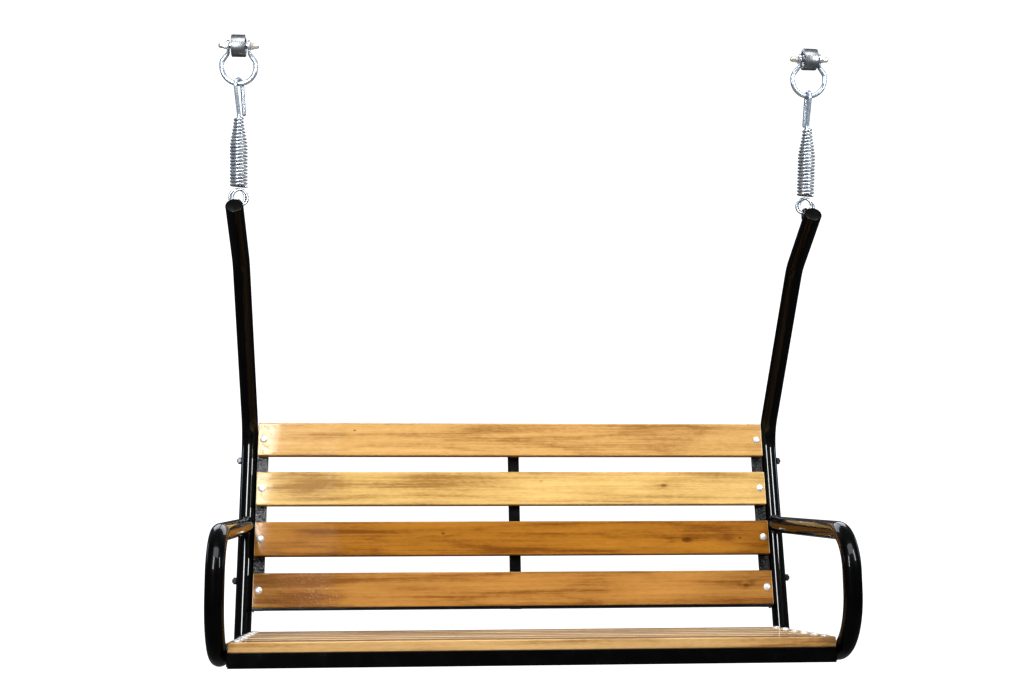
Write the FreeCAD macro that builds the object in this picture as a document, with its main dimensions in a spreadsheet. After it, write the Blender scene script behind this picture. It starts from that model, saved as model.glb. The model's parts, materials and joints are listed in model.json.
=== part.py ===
"""Two-seat hanging porch swing: slatted bench in a bent-tube frame, hung on two sprung bearing hangers.

Frame: millimetres, X to the viewer's right, Y from front to back, Z up. The origin is the midpoint of
the two bearing pins, on the line that the swing turns about.
The bench is drawn in its own frame, whose origin is the line through both hanging eyes, with Y along
the seat towards the back and Z square to the seat. The whole bench is then tipped back by tilt_deg.
"""

import FreeCAD
import Part
import Sketcher
import math
import os

from FreeCAD import Placement, Rotation, Vector

DRIVING_SIZES = {
    # side frames
    "frame_half": 592.0,
    "tube_od": 36.0,
    "tube_wall": 2.0,
    "tilt_deg": 12.9,
    "hang_drop": 320.5,
    "eye_back": 151.0,
    "eye_height": 864.0,
    "back_lean_deg": 9.0,
    "back_foot": 462.8,
    "neck_bend_y": 256.8,
    "neck_bend_z": 767.9,
    "waist_bend_z": 433.7,
    "top_end_y": 108.5,
    "top_end_z": 850.8,
    "back_bend_radius": 100.0,
    "arm_front": 50.0,
    "arm_front_z": 197.0,
    "arm_back_z": 225.5,
    "arm_low_z": -30.0,
    "arm_top_radius": 80.0,
    "arm_low_radius": 116.0,
    "tube_foot": 23.0,
    "cap_flange": 3.0,
    "cap_plug": 14.0,
    # slats
    "slat_length": 1143.0,
    "slat_thick": 20.0,
    "slat_round": 2.5,
    "back_slat_width": 75.0,
    "back_slat_pitch": 112.0,
    "back_slat_first": 82.0,
    "back_slat_count": 4,
    "slat_stand_off": 9.5,
    "seat_slat_width": 62.0,
    "seat_slat_pitch": 70.0,
    "seat_slat_count": 6,
    "bolt_inset": 12.7,
    # flat and angle bars
    "angle_leg": 25.0,
    "angle_thick": 3.0,
    "rail_height": 28.0,
    "strap_width": 25.0,
    "strap_thick": 5.0,
    "ledge_thick": 4.0,
    "seat_bar_length": 404.0,
    "back_bar_foot": 40.5,
    "back_bar_length": 413.5,
    # fasteners
    "slat_bolt_d": 6.0,
    "slat_head_d": 16.0,
    "slat_head_high": 3.6,
    "slat_nut_flats": 10.0,
    "slat_nut_high": 5.0,
    "frame_bolt_d": 8.0,
    "frame_head_d": 12.4,
    "frame_head_high": 5.3,
    "frame_nut_flats": 13.0,
    "frame_nut_high": 6.5,
    "screw_d": 4.0,
    "screw_head_d": 8.0,
    "screw_length": 20.0,
    # hangers
    "hanger_half": 588.0,
    "housing_od": 45.0,
    "housing_length": 28.0,
    "bearing_od": 32.0,
    "bearing_bore": 12.0,
    "bearing_width": 10.0,
    "ball_circle": 22.0,
    "ball_d": 5.9,
    "ball_count": 7,
    "pin_neck_d": 8.0,
    "ear_gap": 36.4,
    "ear_thick": 5.5,
    "ear_d": 23.0,
    "cap_nut_flats": 13.0,
    "cap_nut_high": 6.4,
    "cap_nut_dome": 11.5,
    "bow_rod_d": 10.0,
    "bow_radius": 34.0,
    "bow_drop": 76.0,
    "hook_rod_d": 8.0,
    "hook_radius": 12.0,
    "hook_tip_drop": 136.0,
    "hook_shank_end": 172.0,
    "hook_left_turn": 28.0,
    "hook_right_turn": 4.0,
    "spring_wire": 5.5,
    "spring_od": 36.0,
    "spring_neck_od": 20.8,
    "spring_top": 143.0,
    "spring_taper": 58.0,
    "spring_foot": 283.2,
    "spring_pitch": 6.9,
    "loop_radius": 15.7,
    "loop_shift": 7.0,
    "eye_rod_d": 8.0,
    "eye_hole_radius": 8.3,
    "eye_seat": 3.7,
    # running clearances
    "touch_gap": 0.3,
}

document = FreeCAD.newDocument("porch_swing")
sheet = document.addObject("Spreadsheet::Sheet", "dims")
for row, (alias, size) in enumerate(DRIVING_SIZES.items(), start=1):
    sheet.set("A%d" % row, alias)
    sheet.set("B%d" % row, str(size))
    sheet.setAlias("B%d" % row, alias)
document.recompute()

X_AXIS = Vector(1, 0, 0)
Y_AXIS = Vector(0, 1, 0)
Z_AXIS = Vector(0, 0, 1)
SIDES = (("left", -1), ("right", 1))
NO_TURN = Rotation()
sub_parts = []


def size_of(alias):
    """A driving size from the sheet, as a number."""
    return float(sheet.get(alias))


def radians_of(alias):
    """A driving angle from the sheet, in radians."""
    return math.radians(size_of(alias))


# ---------------------------------------------------------------- frames of reference

BENCH = Placement(Vector(0, 0, -size_of("hang_drop")), Rotation(X_AXIS, -size_of("tilt_deg")))


def on_bench(x, y, z):
    """A point measured from the seat's front top edge, in the bench's own frame."""
    return Vector(x, y - size_of("eye_back"), z - size_of("eye_height"))


def on_back(x, along, forward):
    """A point measured up the backrest from the tubes' line at seat height, and forward of that line."""
    lean = radians_of("back_lean_deg")
    y = size_of("back_foot") + along * math.sin(lean) - forward * math.cos(lean)
    z = along * math.cos(lean) + forward * math.sin(lean)
    return on_bench(x, y, z)


BACK_TURN = Rotation(X_AXIS, -size_of("back_lean_deg"))
SLAT_BACK = size_of("slat_stand_off")
SLAT_FACE = SLAT_BACK + size_of("slat_thick")
SEAT_UNDERSIDE = -size_of("slat_thick")
TUBE_RADIUS = size_of("tube_od") / 2
TUBE_INNER_X = size_of("frame_half") - TUBE_RADIUS
BOLT_X = size_of("slat_length") / 2 - size_of("bolt_inset")


def back_slat_heights():
    """Distances of the back slats' middle lines up the backrest, lowest first."""
    count = int(size_of("back_slat_count"))
    return [size_of("back_slat_first") + k * size_of("back_slat_pitch") for k in range(count)]


def seat_slat_depths():
    """Distances of the seat slats' middle lines behind the front edge, front first."""
    count = int(size_of("seat_slat_count"))
    return [size_of("seat_slat_width") / 2 + k * size_of("seat_slat_pitch") for k in range(count)]


FRAME_BOLTS_UP_BACK = (107.0, 375.0)
FRAME_BOLTS_UNDER_SEAT = (110.0, 330.0)


# ---------------------------------------------------------------- shared builders

def keep(feature, label, placement=None):
    """Names a finished sub-part and puts it in its place."""
    feature.Label = label
    if placement is not None:
        feature.Placement = placement
    sub_parts.append(feature)
    return feature


def keep_shape(shape, label):
    """A sub-part whose shape is worked out from the sheet with Part's own functions."""
    feature = document.addObject("Part::Feature", label)
    feature.Shape = shape
    return keep(feature, label)


def new_body(name):
    return document.addObject("PartDesign::Body", name)


def sketch_on(body, role, name):
    """A sketch on one of the body's own origin planes."""
    sketch = body.newObject("Sketcher::SketchObject", name)
    plane = [f for f in body.Origin.OriginFeatures if f.Role == role][0]
    sketch.AttachmentSupport = [(plane, "")]
    sketch.MapMode = "FlatFace"
    return sketch


def bind(sketch, index, name, expression):
    sketch.renameConstraint(index, name)
    sketch.setExpression("Constraints." + name, expression)


def closed_outline(sketch, corners):
    """Lines through the corners, joined end to end and kept level or upright. Returns the line numbers."""
    lines = []
    for k, (x, y) in enumerate(corners):
        x_next, y_next = corners[(k + 1) % len(corners)]
        line = sketch.addGeometry(Part.LineSegment(Vector(x, y, 0), Vector(x_next, y_next, 0)), False)
        lines.append(line)
    for k, line in enumerate(lines):
        sketch.addConstraint(Sketcher.Constraint("Coincident", line, 2, lines[(k + 1) % len(lines)], 1))
        level = abs(corners[k][1] - corners[(k + 1) % len(corners)][1]) < 1e-9
        sketch.addConstraint(Sketcher.Constraint("Horizontal" if level else "Vertical", line))
    return lines


def pad(body, sketch, length_expression, centred=True):
    feature = body.newObject("PartDesign::Pad", body.Name + "_pad")
    feature.Profile = sketch
    feature.setExpression("Length", length_expression)
    feature.Midplane = centred
    return feature


def drill(body, role, centres, diameter_expression, name):
    """Round holes right through the body, square to one of its origin planes."""
    sketch = sketch_on(body, role, name + "_sketch")
    for number, (x, y) in enumerate(centres):
        circle = sketch.addGeometry(Part.Circle(Vector(x, y, 0), Z_AXIS, 1.0), False)
        sketch.addConstraint(Sketcher.Constraint("DistanceX", -1, 1, circle, 3, x))
        sketch.addConstraint(Sketcher.Constraint("DistanceY", -1, 1, circle, 3, y))
        index = sketch.addConstraint(Sketcher.Constraint("Diameter", circle, 1.0))
        bind(sketch, index, "hole%d" % number, diameter_expression)
    volume_before = body.Shape.Volume
    feature = body.newObject("PartDesign::Pocket", name)
    feature.Profile = sketch
    feature.Type = "ThroughAll"
    feature.Midplane = True
    document.recompute()
    if body.Shape.Volume >= volume_before:
        raise RuntimeError("the holes %s cut nothing" % name)
    return feature


def flat_bar(name, width_expression, thick_expression, length_expression):
    """A rectangular bar along X, centred on its own frame's origin, width along Y and thickness along Z."""
    body = new_body(name)
    sketch = sketch_on(body, "YZ_Plane", name + "_section")
    corners = [(-10.0, -2.0), (10.0, -2.0), (10.0, 2.0), (-10.0, 2.0)]
    lines = closed_outline(sketch, corners)
    sketch.addConstraint(Sketcher.Constraint("Symmetric", lines[0], 1, lines[1], 2, -1, 1))
    width = sketch.addConstraint(Sketcher.Constraint("Distance", lines[0], 20.0))
    bind(sketch, width, "width", width_expression)
    thick = sketch.addConstraint(Sketcher.Constraint("Distance", lines[1], 4.0))
    bind(sketch, thick, "thick", thick_expression)
    pad(body, sketch, length_expression)
    document.recompute()
    return body


def angle_bar(name, x_way, y_way, first_leg, second_leg, length_expression):
    """An angle along Z. Its outer corner is the origin; the legs point along x_way and y_way."""
    body = new_body(name)
    sketch = sketch_on(body, "XY_Plane", name + "_section")
    thick = 3.0
    a = 25.0 * x_way
    b = 25.0 * y_way
    t_x = thick * x_way
    t_y = thick * y_way
    corners = [(0, 0), (a, 0), (a, t_y), (t_x, t_y), (t_x, b), (0, b)]
    lines = closed_outline(sketch, corners)
    sketch.addConstraint(Sketcher.Constraint("Coincident", lines[0], 1, -1, 1))
    legs = (("first_leg", 0, 25.0, first_leg), ("second_leg", 5, 25.0, second_leg))
    ends = (("first_thick", 1, thick, "dims.angle_thick"), ("second_thick", 4, thick, "dims.angle_thick"))
    for label, line, value, expression in legs + ends:
        index = sketch.addConstraint(Sketcher.Constraint("Distance", lines[line], value))
        bind(sketch, index, label, expression)
    pad(body, sketch, length_expression)
    document.recompute()
    return body


def bent_path(corners, radii):
    """A wire of straight runs through the corners, with each inner corner rounded to its radius."""
    edges = []
    start = corners[0]
    for k in range(1, len(corners) - 1):
        arrive = (corners[k] - corners[k - 1]).normalize()
        leave = (corners[k + 1] - corners[k]).normalize()
        turn = arrive.getAngle(leave)
        reach = radii[k - 1] * math.tan(turn / 2)
        arc_start = corners[k] - arrive * reach
        arc_end = corners[k] + leave * reach
        bisector = (leave - arrive).normalize()
        centre = corners[k] + bisector * (radii[k - 1] / math.cos(turn / 2))
        arc_middle = centre - bisector * radii[k - 1]
        if (arc_start - start).Length > 1e-4:
            edges.append(Part.LineSegment(start, arc_start).toShape())
        edges.append(Part.Arc(arc_start, arc_middle, arc_end).toShape())
        start = arc_end
    if (corners[-1] - start).Length > 1e-4:
        edges.append(Part.LineSegment(start, corners[-1]).toShape())
    return Part.Wire(edges)


def rod_along(path, diameter):
    """A round rod whose middle line is the wire path."""
    first = path.Edges[0]
    start = first.valueAt(first.FirstParameter)
    heading = first.tangentAt(first.FirstParameter)
    section = Part.Wire([Part.Circle(start, heading, diameter / 2).toShape()])
    rod = path.makePipeShell([section], True, False)
    expected = math.pi * diameter ** 2 / 4 * path.Length
    if abs(rod.Volume - expected) > 0.02 * expected:
        raise RuntimeError("a bent rod came out with the wrong volume")
    return rod


def turned(outline, axis_point, axis):
    """A solid of revolution from a closed list of points."""
    face = Part.Face(Part.makePolygon(outline + [outline[0]]))
    return face.revolve(axis_point, axis, 360)


def hex_prism(flats, high):
    """A hexagon prism that stands on the XY plane at the origin."""
    radius = flats / math.sqrt(3)
    angles = [math.radians(60 * k) for k in range(7)]
    ring = Part.makePolygon([Vector(radius * math.cos(a), radius * math.sin(a), 0) for a in angles])
    return Part.Face(ring).extrude(Z_AXIS * high)


def hex_nut(flats, high, bore):
    """A plain nut with its corners turned off, standing on the XY plane."""
    turn_off = flats * 0.09
    barrel = Part.makeCylinder(flats / math.sqrt(3), high)
    barrel = barrel.makeChamfer(turn_off, [e for e in barrel.Edges if isinstance(e.Curve, Part.Circle)])
    return hex_prism(flats, high).common(barrel).cut(Part.makeCylinder(bore / 2, high))


def spherical_cap(base_radius, high):
    """A low dome standing on the XY plane."""
    sphere_radius = (base_radius ** 2 + high ** 2) / (2 * high)
    ball = Part.makeSphere(sphere_radius, Vector(0, 0, high - sphere_radius))
    return ball.common(Part.makeCylinder(base_radius + 1, high))


def moved(shape, position, turn=NO_TURN):
    copy = shape.copy()
    copy.Placement = Placement(position, turn).multiply(copy.Placement)
    return copy


def to_bench(shape):
    """The shape, drawn in the bench's frame, moved to where the bench hangs."""
    return moved(shape, BENCH.Base, BENCH.Rotation)


# ---------------------------------------------------------------- side frames

def back_tube_corners():
    """The hanger tube's middle line from its top end to its foot, in the side frame's plane."""
    lean = math.tan(radians_of("back_lean_deg"))
    waist_y = size_of("back_foot") + lean * size_of("waist_bend_z")
    foot_z = size_of("arm_low_z") - size_of("tube_foot")
    foot_y = size_of("back_foot") + lean * foot_z
    return [
        on_bench(0, size_of("top_end_y"), size_of("top_end_z")),
        on_bench(0, size_of("neck_bend_y"), size_of("neck_bend_z")),
        on_bench(0, waist_y, size_of("waist_bend_z")),
        on_bench(0, foot_y, foot_z),
    ]


def arm_tube_corners():
    """The arm loop's middle line: armrest, front post and the run under the seat."""
    lean = math.tan(radians_of("back_lean_deg"))
    return [
        on_bench(0, size_of("back_foot") + lean * size_of("arm_back_z"), size_of("arm_back_z")),
        on_bench(0, -size_of("arm_front"), size_of("arm_front_z")),
        on_bench(0, -size_of("arm_front"), size_of("arm_low_z")),
        on_bench(0, size_of("back_foot") + lean * size_of("arm_low_z"), size_of("arm_low_z")),
    ]


def frame_bolt_holes(points):
    """Round cutters along X for the bolts that hold the angles to a tube."""
    radius = size_of("frame_bolt_d") / 2 + size_of("touch_gap")
    reach = size_of("tube_od")
    cutters = [Part.makeCylinder(radius, 2 * reach, p - X_AXIS * reach, X_AXIS) for p in points]
    return Part.makeCompound(cutters)


def back_bolt_points():
    return [on_back(0, s, 0) for s in FRAME_BOLTS_UP_BACK]


def seat_bolt_points():
    return [on_bench(0, y, size_of("arm_low_z")) for y in FRAME_BOLTS_UNDER_SEAT]


def make_side_frames():
    bore = size_of("tube_od") - 2 * size_of("tube_wall")
    back_radii = [size_of("back_bend_radius")] * 2
    back_path = bent_path(back_tube_corners(), back_radii)
    back_solid = rod_along(back_path, size_of("tube_od"))
    back_tube = back_solid.cut(rod_along(back_path, bore)).cut(frame_bolt_holes(back_bolt_points()))
    arm_radii = [size_of("arm_top_radius"), size_of("arm_low_radius")]
    arm_path = bent_path(arm_tube_corners(), arm_radii)
    arm_tube = rod_along(arm_path, size_of("tube_od")).cut(rod_along(arm_path, bore))
    arm_tube = arm_tube.cut(back_solid).cut(frame_bolt_holes(seat_bolt_points()))
    arm_tube = max(arm_tube.Solids, key=lambda solid: solid.Volume)
    for side, way in SIDES:
        at_side = X_AXIS * way * size_of("frame_half")
        keep_shape(to_bench(moved(back_tube, at_side)), side + "_back_tube")
        keep_shape(to_bench(moved(arm_tube, at_side)), side + "_arm_tube")


def end_cap(dome_high):
    """A push-in tube cap: a thin domed flange above the XY plane and a plug below it."""
    flange = Part.makeCylinder(TUBE_RADIUS, size_of("cap_flange"))
    rim = [e for e in flange.Edges if isinstance(e.Curve, Part.Circle) and e.CenterOfMass.z > 1]
    flange = flange.makeFillet(size_of("cap_flange") * dome_high, rim)
    plug_radius = TUBE_RADIUS - size_of("tube_wall")
    plug = Part.makeCylinder(plug_radius, size_of("cap_plug"), Vector(0, 0, -size_of("cap_plug")))
    hollow = Part.makeCylinder(plug_radius - 2, size_of("cap_plug"), Vector(0, 0, -size_of("cap_plug") - 2))
    return flange.fuse(plug).removeSplitter().cut(hollow)


def make_end_caps():
    corners = back_tube_corners()
    ends = (
        ("top_cap", corners[0], corners[0] - corners[1], 0.9),
        ("foot_cap", corners[3], corners[3] - corners[2], 0.5),
    )
    for name, point, outward, dome_high in ends:
        cap = moved(end_cap(dome_high), point, Rotation(Z_AXIS, outward))
        for side, way in SIDES:
            at_side = X_AXIS * way * size_of("frame_half")
            keep_shape(to_bench(moved(cap, at_side)), side + "_" + name)


def eye_pieces():
    """The hanging eye: a rod bent to a U, whose legs stand on the hanger tube near its top end."""
    corners = back_tube_corners()
    along = (corners[0] - corners[1]).normalize()
    outward = X_AXIS.cross(along)
    if outward.z < 0:
        outward = outward * -1
    downward = Rotation(X_AXIS, size_of("tilt_deg")).multVec(Vector(0, 0, -1))
    centre = downward * size_of("eye_seat")
    mean_radius = size_of("eye_hole_radius") + size_of("eye_rod_d") / 2
    height = (centre - corners[0]).dot(outward)
    leg = height - TUBE_RADIUS + 6.0
    feet = [centre + along * mean_radius * k - outward * leg for k in (1, -1)]
    shoulders = [centre + along * mean_radius * k + outward * mean_radius for k in (1, -1)]
    bend = mean_radius - 0.01
    path = bent_path([feet[0], shoulders[0], shoulders[1], feet[1]], [bend, bend])
    return rod_along(path, size_of("eye_rod_d"))


def make_eyes():
    """The eyes are a little inside the tubes' middle lines; each leg's foot is cut to the tube's round."""
    weld_depth = 0.8
    back_path = bent_path(back_tube_corners(), [size_of("back_bend_radius")] * 2)
    saddle = rod_along(back_path, size_of("tube_od") - 2 * weld_depth)
    for side, way in SIDES:
        eye = moved(eye_pieces(), X_AXIS * way * size_of("hanger_half"))
        eye = eye.cut(moved(saddle, X_AXIS * way * size_of("frame_half")))
        keep_shape(to_bench(eye), side + "_eye")


# ---------------------------------------------------------------- seat and back bars

def make_seat_bars():
    bar_middle = size_of("seat_bar_length") / 2 + size_of("angle_thick") + 1.0
    turn_along_seat = Rotation(X_AXIS, -90)
    for side, way in SIDES:
        name = side + "_seat_angle"
        body = angle_bar(name, -way, 1, "dims.angle_leg", "dims.angle_leg", "dims.seat_bar_length")
        across = [(way * (BOLT_X - TUBE_INNER_X), y - bar_middle) for y in seat_slat_depths()]
        drill(body, "XZ_Plane", across, "dims.slat_bolt_d + dims.touch_gap", name + "_slat_holes")
        level = SEAT_UNDERSIDE - size_of("arm_low_z")
        sideways = [(level, y - bar_middle) for y in FRAME_BOLTS_UNDER_SEAT]
        drill(body, "YZ_Plane", sideways, "dims.frame_bolt_d + dims.touch_gap", name + "_frame_holes")
        corner = on_bench(way * TUBE_INNER_X, bar_middle, SEAT_UNDERSIDE)
        keep(body, name, BENCH.multiply(Placement(corner, turn_along_seat)))
    rails = (("seat_front_rail", 1, 1.0), ("seat_rear_rail", -1, size_of("seat_bar_length") + 7.0))
    for name, inward, y in rails:
        body = angle_bar(name, inward, 1, "dims.rail_height", "dims.rail_height", "dims.slat_length")
        foot = on_bench(0, y, SEAT_UNDERSIDE - size_of("rail_height"))
        turn = Rotation(Y_AXIS, Z_AXIS, X_AXIS, "XYZ")
        keep(body, name, BENCH.multiply(Placement(foot, turn)))
    strap = flat_bar("seat_centre_strap", "dims.strap_width", "dims.strap_thick", "dims.seat_bar_length")
    drill(strap, "XY_Plane", [(y - bar_middle, 0) for y in seat_slat_depths()],
          "dims.screw_d + dims.touch_gap", "seat_strap_holes")
    middle = on_bench(0, bar_middle, SEAT_UNDERSIDE - size_of("strap_thick") / 2)
    keep(strap, "seat_centre_strap", BENCH.multiply(Placement(middle, Rotation(Z_AXIS, 90))))


def make_back_bars():
    bar_middle = size_of("back_bar_foot") + size_of("back_bar_length") / 2
    for side, way in SIDES:
        name = side + "_back_angle"
        body = angle_bar(name, -way, 1, "dims.angle_leg", "dims.angle_leg", "dims.back_bar_length")
        across = [(way * (BOLT_X - TUBE_INNER_X), s - bar_middle) for s in back_slat_heights()]
        drill(body, "XZ_Plane", across, "dims.slat_bolt_d + dims.touch_gap", name + "_slat_holes")
        sideways = [(SLAT_BACK, s - bar_middle) for s in FRAME_BOLTS_UP_BACK]
        drill(body, "YZ_Plane", sideways, "dims.frame_bolt_d + dims.touch_gap", name + "_frame_holes")
        corner = on_back(way * TUBE_INNER_X, bar_middle, SLAT_BACK)
        keep(body, name, BENCH.multiply(Placement(corner, BACK_TURN)))
    strap = flat_bar("back_centre_strap", "dims.strap_width", "dims.strap_thick", "dims.back_bar_length")
    drill(strap, "XY_Plane", [(bar_middle - s, 0) for s in back_slat_heights()],
          "dims.screw_d + dims.touch_gap", "back_strap_holes")
    middle = on_back(0, bar_middle, SLAT_BACK - size_of("strap_thick") / 2)
    upright = BACK_TURN.multiply(Rotation(X_AXIS, 90)).multiply(Rotation(Z_AXIS, -90))
    keep(strap, "back_centre_strap", BENCH.multiply(Placement(middle, upright)))
    ledge = flat_bar("back_ledge_rail", "dims.slat_thick", "dims.ledge_thick", "dims.slat_length")
    along = back_slat_heights()[0] - size_of("back_slat_width") / 2 - size_of("ledge_thick") / 2
    middle = on_back(0, along, (SLAT_BACK + SLAT_FACE) / 2)
    keep(ledge, "back_ledge_rail", BENCH.multiply(Placement(middle, BACK_TURN)))


# ---------------------------------------------------------------- wooden slats

def make_slat(name, width_expression, placement):
    """One board along X with rounded long edges and a bolt hole near each end."""
    body = flat_bar(name, width_expression, "dims.slat_thick", "dims.slat_length")
    long_edges = []
    for number, edge in enumerate(body.Shape.Edges, start=1):
        if abs(edge.Length - size_of("slat_length")) < 0.01:
            long_edges.append("Edge%d" % number)
    padded = body.Tip
    rounding = body.newObject("PartDesign::Fillet", name + "_rounding")
    rounding.Base = (padded, long_edges)
    rounding.setExpression("Radius", "dims.slat_round")
    document.recompute()
    across = "dims.slat_bolt_d + dims.touch_gap"
    drill(body, "XY_Plane", [(-BOLT_X, 0), (BOLT_X, 0)], across, name + "_holes")
    keep(body, name, BENCH.multiply(placement))


def make_slats():
    for number, y in enumerate(seat_slat_depths(), start=1):
        middle = on_bench(0, y, -size_of("slat_thick") / 2)
        make_slat("seat_slat_%d" % number, "dims.seat_slat_width", Placement(middle, NO_TURN))
    upright = BACK_TURN.multiply(Rotation(X_AXIS, 90))
    for number, s in enumerate(reversed(back_slat_heights()), start=1):
        middle = on_back(0, s, (SLAT_BACK + SLAT_FACE) / 2)
        make_slat("back_slat_%d" % number, "dims.back_slat_width", Placement(middle, upright))


# ---------------------------------------------------------------- fasteners of the bench

def slat_fixings():
    """Where each slat bolt's head sits, and the way its shank points, as (point, rotation) pairs."""
    spots = []
    for way in (-1, 1):
        for y in seat_slat_depths():
            spots.append((on_bench(way * BOLT_X, y, 0), NO_TURN))
        for s in back_slat_heights():
            turn = BACK_TURN.multiply(Rotation(X_AXIS, 90))
            spots.append((on_back(way * BOLT_X, s, SLAT_FACE), turn))
    return spots


def make_slat_bolts():
    grip = size_of("slat_thick") + size_of("angle_thick")
    length = grip + size_of("slat_nut_high") + 3.0
    shank = Part.makeCylinder(size_of("slat_bolt_d") / 2, length, Vector(0, 0, -length))
    bolt = spherical_cap(size_of("slat_head_d") / 2, size_of("slat_head_high")).fuse(shank)
    nut = moved(hex_nut(size_of("slat_nut_flats"), size_of("slat_nut_high"), size_of("slat_bolt_d")),
                Vector(0, 0, -grip - size_of("slat_nut_high")))
    bolts = [to_bench(moved(bolt, point, turn)) for point, turn in slat_fixings()]
    nuts = [to_bench(moved(nut, point, turn)) for point, turn in slat_fixings()]
    keep_shape(Part.makeCompound(bolts), "slat_bolts")
    keep_shape(Part.makeCompound(nuts), "slat_nuts")


def make_frame_bolts():
    """Bolts through angles and tubes: the round head is inside the angle, the nut on the tube's outside."""
    head_high = size_of("frame_head_high")
    grip = size_of("tube_od") + size_of("angle_thick")
    length = grip + size_of("frame_nut_high") + 2.5
    shank = Part.makeCylinder(size_of("frame_bolt_d") / 2, length)
    head = Part.makeCylinder(size_of("frame_head_d") / 2, head_high, Vector(0, 0, -head_high))
    rim = [e for e in head.Edges if isinstance(e.Curve, Part.Circle) and e.CenterOfMass.z < -1]
    bolt = head.makeFillet(1.2, rim).fuse(shank)
    nut = moved(hex_nut(size_of("frame_nut_flats"), size_of("frame_nut_high"), size_of("frame_bolt_d")),
                Vector(0, 0, grip))
    bolts = []
    nuts = []
    for way in (-1, 1):
        outward = Rotation(Z_AXIS, X_AXIS * way)
        for point in back_bolt_points() + seat_bolt_points():
            start = point + X_AXIS * way * (TUBE_INNER_X - size_of("angle_thick"))
            bolts.append(to_bench(moved(bolt, start, outward)))
            nuts.append(to_bench(moved(nut, start, outward)))
    keep_shape(Part.makeCompound(bolts), "frame_bolts")
    keep_shape(Part.makeCompound(nuts), "frame_nuts")


def make_centre_screws():
    """Wood screws through the two centre straps into the slats."""
    head_radius = size_of("screw_head_d") / 2
    radius = size_of("screw_d") / 2
    length = size_of("screw_length")
    outline = [
        Vector(0, 0, -2.6),
        Vector(head_radius * 0.7, 0, -2.2),
        Vector(head_radius, 0, 0),
        Vector(radius, 0, 0),
        Vector(radius, 0, length - 4),
        Vector(0, 0, length),
    ]
    screw = turned(outline, Vector(0, 0, 0), Z_AXIS)
    spots = [(on_bench(0, y, SEAT_UNDERSIDE - size_of("strap_thick")), NO_TURN) for y in seat_slat_depths()]
    forward = BACK_TURN.multiply(Rotation(X_AXIS, 90))
    spots += [(on_back(0, s, SLAT_BACK - size_of("strap_thick")), forward) for s in back_slat_heights()]
    screws = [to_bench(moved(screw, point, turn)) for point, turn in spots]
    keep_shape(Part.makeCompound(screws), "centre_screws")


# ---------------------------------------------------------------- hangers

def make_housing(side, way):
    """The short cylinder that is fixed to the ceiling; a shoulder keeps its two bearings apart."""
    name = side + "_housing"
    body = new_body(name)
    sketch = sketch_on(body, "XZ_Plane", name + "_outline")
    half = size_of("housing_length") / 2
    corners = [(-half, 16.0), (-2.5, 16.0), (-2.5, 14.0), (2.5, 14.0), (2.5, 16.0), (half, 16.0),
               (half, 22.5), (-half, 22.5)]
    lines = closed_outline(sketch, corners)
    bind(sketch, sketch.addConstraint(Sketcher.Constraint("DistanceY", -1, 1, lines[0], 1, 16.0)),
         "bore", "dims.bearing_od / 2")
    bind(sketch, sketch.addConstraint(Sketcher.Constraint("DistanceY", -1, 1, lines[6], 1, 22.5)),
         "outside", "dims.housing_od / 2")
    bind(sketch, sketch.addConstraint(Sketcher.Constraint("DistanceX", -1, 1, lines[6], 1, half)),
         "right_end", "dims.housing_length / 2")
    bind(sketch, sketch.addConstraint(Sketcher.Constraint("DistanceX", lines[7], 1, -1, 1, half)),
         "left_end", "dims.housing_length / 2")
    sketch.addConstraint(Sketcher.Constraint("Equal", lines[0], lines[4]))
    sketch.addConstraint(Sketcher.Constraint("Equal", lines[1], lines[3]))
    sketch.addConstraint(Sketcher.Constraint("Distance", lines[1], 2.0))
    sketch.addConstraint(Sketcher.Constraint("Distance", lines[2], 5.0))
    turning = body.newObject("PartDesign::Revolution", name + "_turning")
    turning.Profile = sketch
    turning.ReferenceAxis = (sketch, ["H_Axis"])
    turning.Angle = 360
    document.recompute()
    rims = []
    for number, edge in enumerate(body.Shape.Edges, start=1):
        if isinstance(edge.Curve, Part.Circle) and edge.Curve.Radius > size_of("housing_od") / 2 - 0.1:
            rims.append("Edge%d" % number)
    easing = body.newObject("PartDesign::Chamfer", name + "_easing")
    easing.Base = (turning, rims)
    easing.Size = 1.0
    document.recompute()
    keep(body, name, Placement(X_AXIS * way * size_of("hanger_half"), NO_TURN))


def ring_along_x(outer_radius, inner_radius, low, high):
    outer = Part.makeCylinder(outer_radius, high - low, Vector(low, 0, 0), X_AXIS)
    return outer.cut(Part.makeCylinder(inner_radius, high - low, Vector(low, 0, 0), X_AXIS))


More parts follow.
